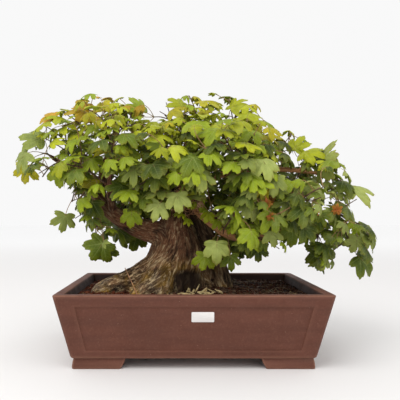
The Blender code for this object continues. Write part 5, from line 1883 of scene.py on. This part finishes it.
def bark_fields(places):
    """The bark's relief, light lines on its crests and highlights, radius, own coordinates and each limb's
    share at each place.
    """
    found = [("trunk", np.arange(len(places)), *near_trunk(places))]
    flows = [Limb("trunk", rows) for rows in BARK_FLOWS.values()]
    found += [(limb.name, *limb.near(places)) for limb in (*limbs(), *flows)]
    total, best = np.zeros(len(places)), np.zeros(len(places))
    fields, grains = np.zeros((len(places), 3)), np.zeros((len(places), 3))
    shares = {}
    for index, (name, chosen, gap, grain, radius) in enumerate(found):
        weight = np.exp(-np.maximum(gap, -DEEPEST_IN) / BARK_BLEND)
        kept = weight > LEAST_SHARE
        if not kept.any():
            continue
        chosen, grain, radius, weight = chosen[kept], grain[kept] + index * 0.37, radius[kept], weight[kept]
        total[chosen] += weight
        fields[chosen] += np.stack([*strips(grain), radius], axis=1) * weight[:, None]
        shares.setdefault(name, np.zeros(len(places)))[chosen] += weight
        closest = weight > best[chosen]
        grains[chosen[closest]] = grain[closest]
        best[chosen[closest]] = weight[closest]
    fields[total == 0] = (0.5, 0, 2 * MM)
    total[total == 0] = 1
    relief, lines, radius = (fields / total[:, None]).T
    return relief, lines, radius, grains, {name: share / total for name, share in shares.items()}


@functools.cache
def limbs():
    made = [Limb("root", rows) for rows in ROOTS]
    made += [Limb(name, rows) for name, rows in (BRANCHES | MORE_LIMBS).items()]
    return made


def between(value, low, high):
    """0 at low and 1 at high, smoothly between."""
    share = np.clip((value - low) / (high - low), 0, 1)
    return share * share * (3 - 2 * share)


def strips(grain):
    """The bark's relief, 0 in the furrows and about 1 on the crests, and its thin light lines on the crests,
    which are partly weathered and partly painted highlight.
    """
    relief, lines = np.empty(len(grain)), np.empty(len(grain))
    for index, (x, y, z) in enumerate(grain.tolist()):
        sway = wave(x, y, z, 22, 9) * 7 * MM
        x, y = x + sway, y - sway
        broad = min(abs(wave(x, y, z, 50, 12)) * 2.6, 1)
        ridge = 1 - min(abs(wave(x, y, z, 130, 26, 5)) * 3.0, 1)
        short = 1 - min(abs(wave(x, y, z, 260, 55, 9)) * 2.6, 1)
        fine = wave(x, y, z, 520, 90)
        relief[index] = 0.05 + broad * 0.42 + ridge * 0.28 + short * 0.2 + fine * 0.14
        lines[index] = ridge ** 2 * (0.3 + 0.5 * broad) + short ** 2 * 0.5 + fine * 0.35 - 0.1
    return relief, lines


def wave(x, y, z, across, along, shift=0):
    """Smooth noise with so many waves a metre across the fibres and along them."""
    return noise.noise(Vector((x * across, y * across, z * along + shift)))


def hollow_share(places):
    """How far each place lies in the hollow at the trunk's foot, from 0 to 1."""
    _, left, right, front, back = TRUNK_OUTLINE[2]
    away_x = (places[:, 0] / MM - (left + right) / 2) / (right - left)
    away_y = (places[:, 1] / MM - (front + back) / 2) / (back - front)
    turn = np.arctan2(away_y, away_x)
    aside = np.exp(-(((turn - SHADED_HOLLOW_DIRECTION) / SHADED_HOLLOW_WIDTH) ** 2))
    return aside * between(HOLLOW_TOP - places[:, 2] / MM, 0, HOLLOW_FALL)


def collar_start(spray):
    """The middle of a collar's first ring, inside its branch."""
    return sum(spray.collar[0][:SPRAY_SIDES], Vector()) / SPRAY_SIDES


def collar_tube(spray):
    """The swollen start of a shoot on its branch."""
    start = collar_start(spray)
    return round_tube([start, start.lerp(spray.path[0], 0.6), spray.path[0]], COLLAR_RADII, COLLAR_SIDES)


class BONSAI_OT_wood(bpy.types.Operator):
    """Grow the trunk, roots and branches as one piece and give it bark"""

    bl_idname = "bonsai.wood"
    bl_label = "Trunk and branches"

    def execute(self, context):
        look = context.scene.bonsai_wood
        sprays, _ = grown_tree()
        trunk = tube([trunk_ring(row, FINE_TRUNK_SIDES) for row in trunk_rows()], split=False)
        shapes = [trunk, *(limb.shape() for limb in limbs()), *(collar_tube(spray) for spray in sprays)]
        wood = new_piece("bark", joined(shapes), [bark_finish(look)])
        add_modifier(wood, "REMESH", mode="VOXEL", voxel_size=look.trunk_step)
        add_modifier(wood, "SMOOTH", factor=0.5, iterations=4)
        apply_modifiers(wood)
        mesh = wood.data
        places = vectors(mesh.vertices, "co")
        normals = vectors(mesh.vertex_normals, "vector")
        heights, lines, radius, grain, shares = bark_fields(places)
        depth = look.relief * np.clip(radius / OLD_RADIUS, 0.1, 1)
        hollow = hollow_share(places) * np.clip(shares["trunk"] + shares["root"], 0, 1)
        places += normals * ((heights - MIDDLE_RELIEF) * depth - hollow * HOLLOW_DEEPER)[:, None]
        mesh.vertices.foreach_set("co", places.ravel())
        height = places[:, 2] / MM
        groups = (YOUNG_BRANCHES, RED_BRANCHES, SHADED_BRANCHES)
        young, left, behind = (sum(shares.get(name, 0) for name in names) for names in groups)
        patches = np.array([noise.noise(Vector(place) / PATCH_STEP) for place in places.tolist()])
        facing = np.clip(0.3 - normals[:, 1], 0, 1)
        # Painted highlight: more light lines on the upward-facing side of the red branches
        lines += 0.3 * np.clip(normals[:, 2], 0, 1) * np.clip(left, 0, 1)
        fields = {
            "relief": heights,
            "young": young,
            "red": between(height + 30 * patches, *RED_HEIGHTS) * shares["trunk"] + left,
            "moss": between(MOSS_TOP - height, 0, MOSS_FALL) * facing * between(patches, -0.2, 0.25),
            "lines": lines,
            # Painted shade on the wood behind the trunk and in the hollow at its foot
            "dark": 0.7 * behind * between(height, *SHADE_HEIGHTS) + 1.3 * hollow,
        }
        for name, values in fields.items():
            set_numbers(mesh, name, np.clip(values, 0, 1))
        set_numbers(mesh, "grain", grain, "FLOAT_VECTOR")
        count = sum(len(face.vertices) - 2 for face in mesh.polygons)
        if count > WOOD_TRIANGLES:
            add_modifier(wood, "DECIMATE", ratio=WOOD_TRIANGLES / count)
            apply_modifiers(wood)
        smooth(wood)
        finished(wood, "bark", "trunk")
        return {"FINISHED"}


# Foliage


@functools.cache
def grown_tree():
    """The frame's shoots with their leaves, and the twigs that are added to them here."""
    wood = coarse_wood()
    sprays = grow_stems(wood)
    crown = grow_leaves(joined(wood + [spray.collar for spray in sprays]), sprays)
    return sprays, grow_twigs(crown, wood, sprays)


def spare_room(crown, solid, shape, middle):
    """True if the shape stays in the crown's limits and meets neither wood nor a leaf."""
    for corner in shape[0]:
        if any(not low <= value / MM <= high for value, (low, high) in zip(corner, CROWN_LIMITS)):
            return False
        if in_outline(*seen_place(corner), OPEN_BAY):
            return False
    tree = search_tree(shape)
    if tree.overlap(solid):
        return False
    return not any(
        (leaf.base - middle).length < NEAR_LEAF and tree.overlap(other) for leaf, other in crown.placed
    )


def twig_path(spray, share, draw):
    """A side twig's route: out of the stem, up a little and away from the crown's middle."""
    root, run = along_path(spray.path, share)
    out = outward(root)
    loose = Vector([draw.gauss(0, 1) for _ in range(3)])
    aside = (loose - run * loose.dot(run)).normalized()
    sideways, onward, upward = TWIG_AIM
    heading = aside * sideways + run * onward + out * draw.uniform(*TWIG_OUTWARD) + UP * upward
    heading = heading.normalized()
    reach = draw.uniform(*TWIG_LENGTHS)
    bend = root + heading * reach * 0.5 + UP * draw.uniform(*TWIG_LIFTS) * MM
    return [root, bend, root + heading * reach]


def twig_room(path):
    return round_tube(path, [TWIG_ROOM_RADIUS] * len(path), TWIG_ROOM_SIDES)


def try_leaf(crown, solid, spray, leaf):
    """Adds the leaf to the spray and the crown if there is room for it."""
    shape = leaf_shape(leaf, MORE_LEAF_ROOM, STALK_CLEAR_OF_STEM)
    fits = in_crown(shape[0]) and spare_room(crown, solid, shape, leaf.base)
    if fits:
        crown.add(spray, leaf, search_tree(shape))
    return fits


def grow_twigs(crown, wood, sprays):
    """Side twigs with small groups of leaves, and more leaves on the frame's own shoots."""
    twigs = []
    solids = wood + [spray.shape for spray in sprays]
    for number, (branch, share, tip) in enumerate(MORE_STEMS):
        side = "right" if tip[0] > 0 else "left"
        path = more_stem(branch, share, tip)
        shape = twig_room(path)
        twigs.append(Spray(f"spray_{side}_more_{number}", (), path, shape, []))
        solids.append(shape)
    solid = search_tree(joined(solids))
    for number, share in enumerate(TWIG_SHARES):
        for spray in sprays:
            for attempt in range(TWIG_TRIES):
                draw = random.Random(f"{spray.name} twig {number} {attempt}")
                path = twig_path(spray, share, draw)
                start = path[0].lerp(path[1], TWIG_CLEAR_OF_STEM)
                shape = twig_room([start, *path[1:]])
                if not in_crown([path[2]]) or not spare_room(crown, solid, shape, path[1]):
                    continue
                twig = Spray(f"{spray.name}_twig_{number}", (), path, shape, [])
                twigs.append(twig)
                solids.append(shape)
                solid = search_tree(joined(solids))
                break
    for share, turn in MORE_LEAVES:
        for spray in twigs + sprays:
            for attempt in range(MORE_TRIES):
                leaf = smaller_leaf(spray_leaf(spray, share, turn, attempt), f"{spray.name} {share} {turn}")
                if try_leaf(crown, solid, spray, leaf):
                    break
    for spots, sizes in FILLS:
        fill_crown(crown, solid, twigs + sprays, spots, sizes)
    return twigs


def more_stem(branch, share, tip):
    """A stem's route from its branch's middle to its tip."""
    start, _ = branch_point(branch, share)
    end = in_metres(tip)
    return [arched(start, end, MORE_STEM_LIFT, step / 3) for step in range(4)]


def smaller_leaf(leaf, seed):
    """The leaf with a shorter stalk and a smaller, more folded blade."""
    draw = random.Random(seed)
    size = draw.uniform(*MORE_LEAF_SIZES)
    base = leaf.root.lerp(leaf.base, MORE_STALK_SHARE)
    return replace(leaf, base=base, length=leaf.length * size, fold=draw.uniform(*MORE_LEAF_FOLD))


def fill_leaf(root, spot, sizes, draw):
    """A leaf at a spot, with its stalk from the nearest stem."""
    stalk = (spot - root).normalized()
    leaf = hung_leaf(root, spot, stalk, sizes, jittered(draw, FILL_JITTER), draw)
    return replace(leaf, fold=draw.uniform(*MORE_LEAF_FOLD))


def fill_crown(crown, solid, stems, spots, sizes):
    """Leaves wherever a spot in the crown still has room for one near a stem."""
    draw = random.Random(f"fill {spots}")
    shares = np.linspace(*FILL_ROOT_SHARES)
    roots = [(stem, along_path(stem.path, share)[0]) for stem in stems for share in shares]
    places = np.array([root for _, root in roots])
    for _ in range(spots):
        spot = CROWN_MIDDLE + Vector([draw.uniform(-1, 1) * radius for radius in CROWN_RADII])
        if not in_crown([spot]):
            continue
        reach = np.linalg.norm(places - np.array(spot), axis=1)
        nearest = int(reach.argmin())
        if not FILL_REACH[0] < reach[nearest] < FILL_REACH[1]:
            continue
        stem, root = roots[nearest]
        try_leaf(crown, solid, stem, fill_leaf(root, spot, sizes, draw))


def blade_lines(outline):
    """Angle and reach of each outline point of a blade, from the tip round by the right side."""
    right = [(math.radians(angle), reach) for angle, reach in outline]
    return np.array(right + [(-angle, reach) for angle, reach in reversed(right[1:])])


def blade_form(leaf, draw, fine):
    """A lobed blade's points: x, y and height in leaf lengths, and the share of the way to the edge.

    It has creases along its veins, curled lobes and a wavy edge."""
    angles, reach = blade_lines(FINE_OUTLINE if fine else PLAIN_OUTLINE).T
    ring_shares = FINE_RINGS if fine else PLAIN_RINGS
    wave_angles = [angle for angle, _ in LEAF_OUTLINE]
    wave_angles += [360 - angle for angle in reversed(wave_angles)]
    waves = np.interp(np.degrees(angles) % 360, wave_angles, leaf.waves, period=360)
    stretch, curl = np.ones(len(angles)), np.zeros(len(angles))
    for vein in MAIN_VEINS:
        nearness = np.exp(-((angles - math.radians(vein)) / LOBE_WIDTH) ** 2)
        stretch += nearness * draw.uniform(*LOBE_STRETCH)
        curl += nearness * draw.uniform(*LOBE_CURL)
    stretch += np.array([draw.uniform(-EDGE_JITTER, EDGE_JITTER) for _ in angles])
    tips = np.interp(np.abs(np.degrees(angles)), *np.array(LOBE_TIPS).T)
    reach = reach + draw.uniform(*SHALLOW) * (tips - reach)
    cup = draw.uniform(*(LEAF_CUP if fine else SMALL_LEAF_CUP))
    rings = np.array(ring_shares)[:, None]
    x = np.append((rings * reach * stretch * np.sin(angles)).ravel(), 0)
    y = np.append((rings * reach * stretch * np.cos(angles)).ravel(), 0)
    far = np.hypot(x, y)
    x, y = x / (1 + CUP_PULL * cup * far), y / (1 + CUP_PULL * cup * far)
    angle, wave_height, curl = (
        np.append(np.tile(values, len(ring_shares)), 0) for values in (angles, waves, curl)
    )
    share = np.append(np.repeat(ring_shares, len(angles)), 0)
    height = -leaf.droop * np.maximum(y, 0) ** 2 - leaf.fold * np.abs(x) + wave_height * far
    height -= curl * np.maximum(far - CURL_START, 0) ** 2 + cup * far ** 2
    height += EDGE_RIPPLE * np.sin(angle * EDGE_RIPPLES + draw.uniform(0, 6)) * share ** 3
    for vein in MAIN_VEINS:
        sine, cosine = math.sin(math.radians(vein)), math.cos(math.radians(vein))
        aside = np.abs(x * cosine - y * sine)
        ahead = x * sine + y * cosine > 0
        height -= VEIN_CREASE * np.maximum(1 - aside / VEIN_WIDTH, 0) * ahead * (1 - share / 2)
    return x, y, height, share


@functools.cache
def blade_faces(count, rings):
    """The faces of a blade with so many points in each ring, and the side of the blade each lies on."""
    total, outer = count * rings + 1, (rings - 1) * count
    faces, kinds = [], []
    for side in (0, 1):
        first = side * total
        for step in range(count):
            after = (step + 1) % count
            faces.append((first + total - 1, first + step, first + after))
            for row in range(rings - 1):
                low, high = first + row * count, first + (row + 1) * count
                faces.append((low + step, low + after, high + after, high + step))
        kinds += [side] * (count * rings)
    for step in range(count):
        after = (step + 1) % count
        faces.append((outer + step, outer + after, total + outer + after, total + outer + step))
    return faces, kinds + [0] * count


class Foliage:
    """Collects blades, stalks and stems into one mesh."""

    def __init__(self):
        self.corners, self.faces, self.kinds = [], [], []
        self.blades, self.tints, self.scorch = [], [], []

    def add(self, corners, faces, kinds, blades=None, tint=(0, 0, 0), scorch=0.0):
        first = len(self.corners)
        self.corners += [tuple(corner) for corner in corners]
        self.faces += [tuple(first + index for index in face) for face in faces]
        self.kinds += kinds
        self.blades += [(0, -1, 0)] * len(corners) if blades is None else blades
        self.tints += [tint] * len(corners)
        self.scorch += [scorch] * len(corners)

    def add_tube(self, path, radii, sides, kind):
        corners, faces = round_tube(path, radii, sides)
        self.add(corners, faces, [kind] * len(faces))

    def add_blade(self, leaf, tint, scorch, draw, fine=True):
        x, y, height, share = blade_form(leaf, draw, fine)
        side = np.array(leaf.along.cross(leaf.normal))
        along, normal = np.array(leaf.along), np.array(leaf.normal)
        flat = np.array(leaf.base) + (np.outer(x, side) + np.outer(y, along)) * leaf.length
        half = FINE_THICKNESS / 2 * (1 - EDGE_THINNING * share)
        corners = np.vstack([
            flat + np.outer(height * leaf.length + half, normal),
            flat + np.outer(height * leaf.length - half, normal),
        ])
        rings = len(FINE_RINGS if fine else PLAIN_RINGS)
        faces, kinds = blade_faces((len(x) - 1) // rings, rings)
        blades = list(zip(x.tolist(), y.tolist(), share.tolist())) * 2
        self.add(corners.tolist(), faces, kinds, blades, tint, scorch)

    def add_stalk(self, leaf):
        """A curved stalk that runs on as a rib under the blade's first part."""
        reach = (leaf.base - leaf.root).length
        bend = leaf.base - leaf.along * reach * 0.4
        path = [
            leaf.root.lerp(bend, share).lerp(bend.lerp(leaf.base, share), share)
            for share in np.linspace(0, 1, STALK_SPANS + 1)
        ]
        path[-1] = path[-1] - leaf.normal * STALK_RADIUS / 2
        rib = RIB_SHARE * leaf.length
        drop = leaf.droop * RIB_SHARE ** 2 * leaf.length + FINE_THICKNESS
        path.append(leaf.base + leaf.along * rib - leaf.normal * drop)
        radii = [STALK_RADIUS * 1.5] + [STALK_RADIUS] * (STALK_SPANS - 1)
        radii += [STALK_RADIUS * 0.8, STALK_RADIUS / 3]
        self.add_tube(path, radii, STALK_SIDES, 2)

    def add_stem(self, path, radii, nodes=()):
        """A stem with rounded bends, a bud at its tip and a swelling at each leaf pair."""
        fine = [Vector(point) for point in smooth_run([tuple(point) for point in path], STEM_STEPS)]
        start, end = radii
        sizes = []
        for step, point in enumerate(fine):
            size = start + (end - start) * step / (len(fine) - 1)
            swell = max((math.exp(-((point - node).length / NODE_REACH) ** 2) for node in nodes), default=0)
            sizes.append(size * (1 + NODE_SWELL * swell))
        onward = (fine[-1] - fine[-2]).normalized()
        for size in BUD_SIZES:
            fine.append(fine[-1] + onward * BUD_STEP * MM)
            sizes.append(end * size)
        self.add_tube(fine, sizes, STEM_SIDES, 3)

    def piece(self, name, materials):
        obj = new_piece(name, (self.corners, self.faces), materials)
        obj.data.polygons.foreach_set("material_index", self.kinds)
        set_numbers(obj.data, "blade", self.blades, "FLOAT_VECTOR")
        set_numbers(obj.data, "leaf_colour", self.tints, "FLOAT_VECTOR")
        set_numbers(obj.data, "scorch", self.scorch)
        smooth(obj, 60)
        return obj


def leaf_zones(x, y, z, depth):
    """The crown's parts, each with whether the leaf is in it and the tones that are seen there. The darker
    tones inside the crown, at its back and low down are partly painted shade.
    """
    return (
        (z > 375 and x < -60, ("orange", "yellow", "young", "young", "fresh")),
        (z > 345, ("young", "young", "young", "fresh", "yellow")),
        (depth < 0.62 or (y > 40 and z < 300), ("deep", "deep", "dark", "dark", "middle")),
        (z > 305, ("young", "fresh", "fresh", "middle", "dark", "deep")),
        (x < -70 and 180 < z < 268, ("deep", "dark", "dark", "middle", "fresh")),
        (x < -130, ("young", "fresh", "fresh", "middle", "dark", "grey")),
        (x > 190 and z > 240, ("pale", "pale", "fresh", "grey", "fresh", "dark")),
        (x > 110 and z < 240, ("dark", "dark", "middle", "middle", "grey", "fresh")),
        (y < -70, ("fresh", "middle", "dark", "pale", "grey", "fresh")),
        (z < 215, ("dark", "dark", "middle", "middle", "fresh")),
        (True, ("deep", "dark", "middle", "fresh", "fresh", "grey")),
    )


def leaf_tint(leaf, look, draw):
    """A leaf's colour, by its own tone or its place in the crown, and how scorched its edge is."""
    middle = leaf.base + leaf.along * leaf.length / 2
    depth = from_middle(middle).length
    chance = draw.random()
    scorch = draw.uniform(*SCORCH)
    zone = next(tones for holds, tones in leaf_zones(*(middle / MM), depth) if holds)
    tone = leaf.tone or zone[int(chance * len(zone))]
    # deep is the inner tone darkened further as painted shade, and grey a dark leaf paled by painted sheen
    tints = {
        "deep": mixed(look.dark, (0, 0, 0), 0.45), "grey": mixed(look.pale, look.dark, 0.45),
        "yellow": mixed(look.young, look.orange, 0.35),
    }
    tint = mixed(tints.get(tone) or getattr(look, tone), look.middle, draw.uniform(*TONE_SHIFTS))
    bright = draw.uniform(*TONE_BRIGHTNESS)
    if tone in ("orange", "yellow", "pale"):
        scorch += MORE_SCORCH
    return tuple(min(value * bright, 1) for value in tint), scorch


def add_leafy(foliage, spray, look, start, radii):
    """A shoot's stem with its stalks and blades."""
    foliage.add_stem(start + spray.path, radii, [leaf.root for leaf in spray.leaves])
    for number, leaf in enumerate(spray.leaves):
        draw = random.Random(f"{spray.name} blade {number}")
        tint, scorch = leaf_tint(leaf, look, draw)
        foliage.add_blade(leaf, tint, scorch, draw, fine=leaf.length > SMALL_LEAF)
        foliage.add_stalk(leaf)


def leaf_materials(context):
    """The finishes of upper faces, lower faces, stalks and stems, made at the first call."""
    names = ("leaf_upper_face", "leaf_lower_face", "leaf_stalk", "leafy_stem")
    if names[0] not in bpy.data.materials:
        look, wood = context.scene.bonsai_leaf, context.scene.bonsai_wood
        leaf_finish(names[0], look, under=False)
        leaf_finish(names[1], look, under=True)
        twig_finish(names[2], look.stalk, mixed(look.stalk, look.dark, 0.35))
        twig_finish(names[3], wood.twig, mixed(wood.twig, wood.furrow_and_shade, 0.5))
    return [bpy.data.materials[name] for name in names]


class BONSAI_OT_sprays(bpy.types.Operator):
    """Grow the leafy shoots that stand for the frame's own"""

    bl_idname = "bonsai.sprays"
    bl_label = "Leafy shoots"

    def execute(self, context):
        materials = leaf_materials(context)
        sprays, _ = grown_tree()
        for spray in sprays:
            foliage = Foliage()
            add_leafy(foliage, spray, context.scene.bonsai_leaf, [collar_start(spray)], STEM_RADII)
            finished(foliage.piece(f"leafy_{spray.name}", materials), "leaf", spray.name)
        return {"FINISHED"}


class BONSAI_OT_twigs(bpy.types.Operator):
    """Grow the side twigs and their leaves"""

    bl_idname = "bonsai.twigs"
    bl_label = "Side twigs"

    def execute(self, context):
        materials = leaf_materials(context)
        _, twigs = grown_tree()
        for side in SPRAYS:
            foliage = Foliage()
            for twig in twigs:
                if twig.name.startswith(f"spray_{side}_") and twig.leaves:
                    add_leafy(foliage, twig, context.scene.bonsai_leaf, [], TWIG_RADII)
            finished(foliage.piece(f"side_twigs_{side}", materials), "leaf")
        return {"FINISHED"}


# Small growth on the wood


def kinked(start, heading, reach, steps, draw):
    """A path that wanders from its heading."""
    path = [start]
    for _ in range(steps):
        heading = (heading + Vector([draw.gauss(0, KINK) for _ in range(3)])).normalized()
        path.append(path[-1] + heading * reach / steps)
    return path


def add_young_leaf(foliage, base, along, length, tones, draw, scorch=0, fine=False):
    """A young blade that stands straight on the end of a shoot, in a mix of two tones."""
    loose = Vector([draw.gauss(0, YOUNG_TILT) for _ in range(3)])
    normal = square_to(FACING + YOUNG_FACING + loose, along)
    leaf = Leaf(base, along, normal, base - along * length * 0.2, length, *drawn_form(draw))
    first, second, shares = tones
    foliage.add_blade(leaf, mixed(first, second, draw.uniform(*shares)), scorch, draw, fine)


def add_dead_twigs(foliage, look, draw):
    """Thin dead twigs round the burl, some of them with a pair of young leaves."""
    for number in range(DEAD_TWIGS):
        spread = Vector([draw.gauss(0, value) for value in BURL_SPREAD])
        start = in_metres(BURL) + spread * MM
        heading = Vector((draw.gauss(0, 1), -abs(draw.gauss(0.5, 0.5)), draw.gauss(0.5, 0.7))).normalized()
        path = kinked(start, heading, draw.uniform(*DEAD_TWIG_REACHES) * MM, DEAD_TWIG_STEPS, draw)
        thickness = draw.uniform(*DEAD_TWIG_RADII) * MM
        radii = [thickness * (1 - DEAD_TWIG_TAPER * step) for step in range(DEAD_TWIG_STEPS + 1)]
        foliage.add_tube(path, radii, STALK_SIDES, 3)
        if number % 4 == 0:
            along = (path[-1] - path[-2]).normalized()
            for turn in (-0.6, 0.6):
                turned = Matrix.Rotation(turn, 3, "Y") @ along
                length = draw.uniform(*BURL_LEAVES) * MM
                add_young_leaf(foliage, path[-1], turned, length, (look.young, look.fresh, (0, 1)), draw)


def add_young_shoots(foliage, look, draw):
    """Red-brown shoots that end in a tuft of small blades."""
    for place in YOUNG_SHOOTS:
        tip = in_metres(place)
        stems = (point for spray in grown_tree()[0] for point in spray.path)
        root = min(stems, key=lambda point: (point - tip).length)
        bend = root.lerp(tip, 0.5) - UP * 3 * MM
        foliage.add_stem([root, bend, tip], (0.9 * MM, 0.6 * MM))
        for turn in range(BLADES_A_SHOOT):
            along = Vector((math.cos(turn * 1.7), -0.7, 0.2 + 0.8 * math.sin(turn * 2.1))).normalized()
            length = draw.uniform(*SHOOT_LEAVES) * MM
            add_young_leaf(foliage, tip, along, length, (look.shoot, look.fresh, (0, 0.25)), draw, 0.3)


def add_branch_leaves(foliage, look, draw):
    """Small green leaves that stand straight on the right branch."""
    for foot, tip, way, length in BRANCH_LEAVES:
        foot, tip = in_metres(foot), in_metres(tip)
        foliage.add_stem([foot, foot.lerp(tip, 0.5) - UP * 2 * MM, tip], (0.8 * MM, 0.5 * MM))
        tones = (look.young, look.fresh, (0.4, 1.0))
        add_young_leaf(foliage, tip, Vector(way).normalized(), length * MM, tones, draw, fine=True)


class BONSAI_OT_details(bpy.types.Operator):
    """Add dead twigs, buds, young shoots and a sawn stub on the wood"""

    bl_idname = "bonsai.details"
    bl_label = "Dead twigs and young shoots"

    def execute(self, context):
        look = context.scene.bonsai_leaf
        dead_twig = twig_finish("dead_twig", shade(184, 132, 84), shade(112, 72, 52))
        draw = random.Random("details")
        foliage = Foliage()
        add_dead_twigs(foliage, look, draw)
        add_young_shoots(foliage, look, draw)
        add_branch_leaves(foliage, look, draw)
        for route in DEAD_TWIG_ROUTES:
            foliage.add_stem([in_metres(point) for point in route], (1.1 * MM, 0.6 * MM))
        finished(foliage.piece("young_shoots", [*leaf_materials(context)[:3], dead_twig]), "leaf")
        sawn = twig_finish("sawn_wood", shade(240, 192, 150), shade(214, 158, 116))
        finished(new_piece("sawn_stub", tapered_tube(STUB, STUB_SIDES, split=False), [sawn], 40), "bark")
        return {"FINISHED"}


# Stage


def area_lamp(name, place, size, power):
    data = bpy.data.lights.new(name, "AREA")
    data.energy = power
    data.size = size
    lamp = bpy.data.objects.new(name, data)
    lamp.location = POT_PLACE + Vector(place)
    lamp.rotation_euler = (LAMP_AIM - Vector(place)).to_track_quat("-Z", "Y").to_euler()
    bpy.context.scene.collection.objects.link(lamp)


class BONSAI_OT_stage(bpy.types.Operator):
    """Set out the floor, the soft light and the camera"""

    bl_idname = "bonsai.stage"
    bl_label = "Stage"

    def execute(self, context):
        look = context.scene.bonsai_stage
        turns = ((-1, -1), (1, -1), (1, 1), (-1, 1))
        corners = [(right * FLOOR_REACH, back * FLOOR_REACH, 0) for right, back in turns]
        floor = new_piece("floor", (corners, [(0, 1, 2, 3)]), [floor_finish(look)])
        world = bpy.data.worlds.new("even_light")
        world.use_nodes = True
        background = world.node_tree.nodes["Background"]
        background.inputs["Color"].default_value = (1, 1, 1, 1)
        background.inputs["Strength"].default_value = look.sky
        context.scene.world = world
        for lamp, power in zip(LAMPS, (look.key, look.fill)):
            area_lamp(*lamp, power)
        context.scene.view_settings.view_transform = "Standard"
        data = bpy.data.cameras.new("photo_camera")
        data.sensor_width = SENSOR_WIDTH
        data.lens = FOCAL_LENGTH
        data.shift_x, data.shift_y = CAMERA_SHIFT
        data.clip_start = 0.01
        camera = bpy.data.objects.new("photo_camera", data)
        camera.location = POT_PLACE + Vector(CAMERA_PLACE)
        camera.rotation_euler = (math.pi / 2, 0, 0)
        context.scene.collection.objects.link(camera)
        context.scene.camera = camera
        return {"FINISHED"}


# Add-on


LOOKS = {
    "bonsai_pot": PotLook, "bonsai_soil": SoilLook, "bonsai_wood": WoodLook, "bonsai_leaf": LeafLook,
    "bonsai_stage": StageLook,
}
STEPS = (
    BONSAI_OT_pot, BONSAI_OT_pot_fittings, BONSAI_OT_soil, BONSAI_OT_wood, BONSAI_OT_sprays, BONSAI_OT_twigs,
    BONSAI_OT_details, BONSAI_OT_stage,
)


class BONSAI_PT_sidebar(bpy.types.Panel):
    """Lists the pieces and their settings"""

    bl_idname = "BONSAI_PT_sidebar"
    bl_label = "Bonsai"
    bl_space_type = "VIEW_3D"
    bl_region_type = "UI"
    bl_category = "Bonsai"

    def draw(self, context):
        for step in STEPS:
            self.layout.operator(step.bl_idname)
        for name, look in LOOKS.items():
            box = self.layout.box()
            box.label(text=name.replace("_", " "))
            settings = getattr(context.scene, name)
            for setting in look.__annotations__:
                box.prop(settings, setting)


def register():
    for part in (*LOOKS.values(), *STEPS, BONSAI_PT_sidebar):
        bpy.utils.register_class(part)
    for name, look in LOOKS.items():
        setattr(bpy.types.Scene, name, PointerProperty(type=look))


def unregister():
    for name in LOOKS:
        delattr(bpy.types.Scene, name)
    for part in reversed((*LOOKS.values(), *STEPS, BONSAI_PT_sidebar)):
        bpy.utils.unregister_class(part)


def main():
    register()
    bpy.ops.bonsai.pot()
    bpy.ops.bonsai.pot_fittings()
    bpy.ops.bonsai.soil()
    bpy.ops.bonsai.wood()
    bpy.ops.bonsai.sprays()
    bpy.ops.bonsai.twigs()
    bpy.ops.bonsai.details()
    bpy.ops.bonsai.stage()


if __name__ == "__main__":
    main()
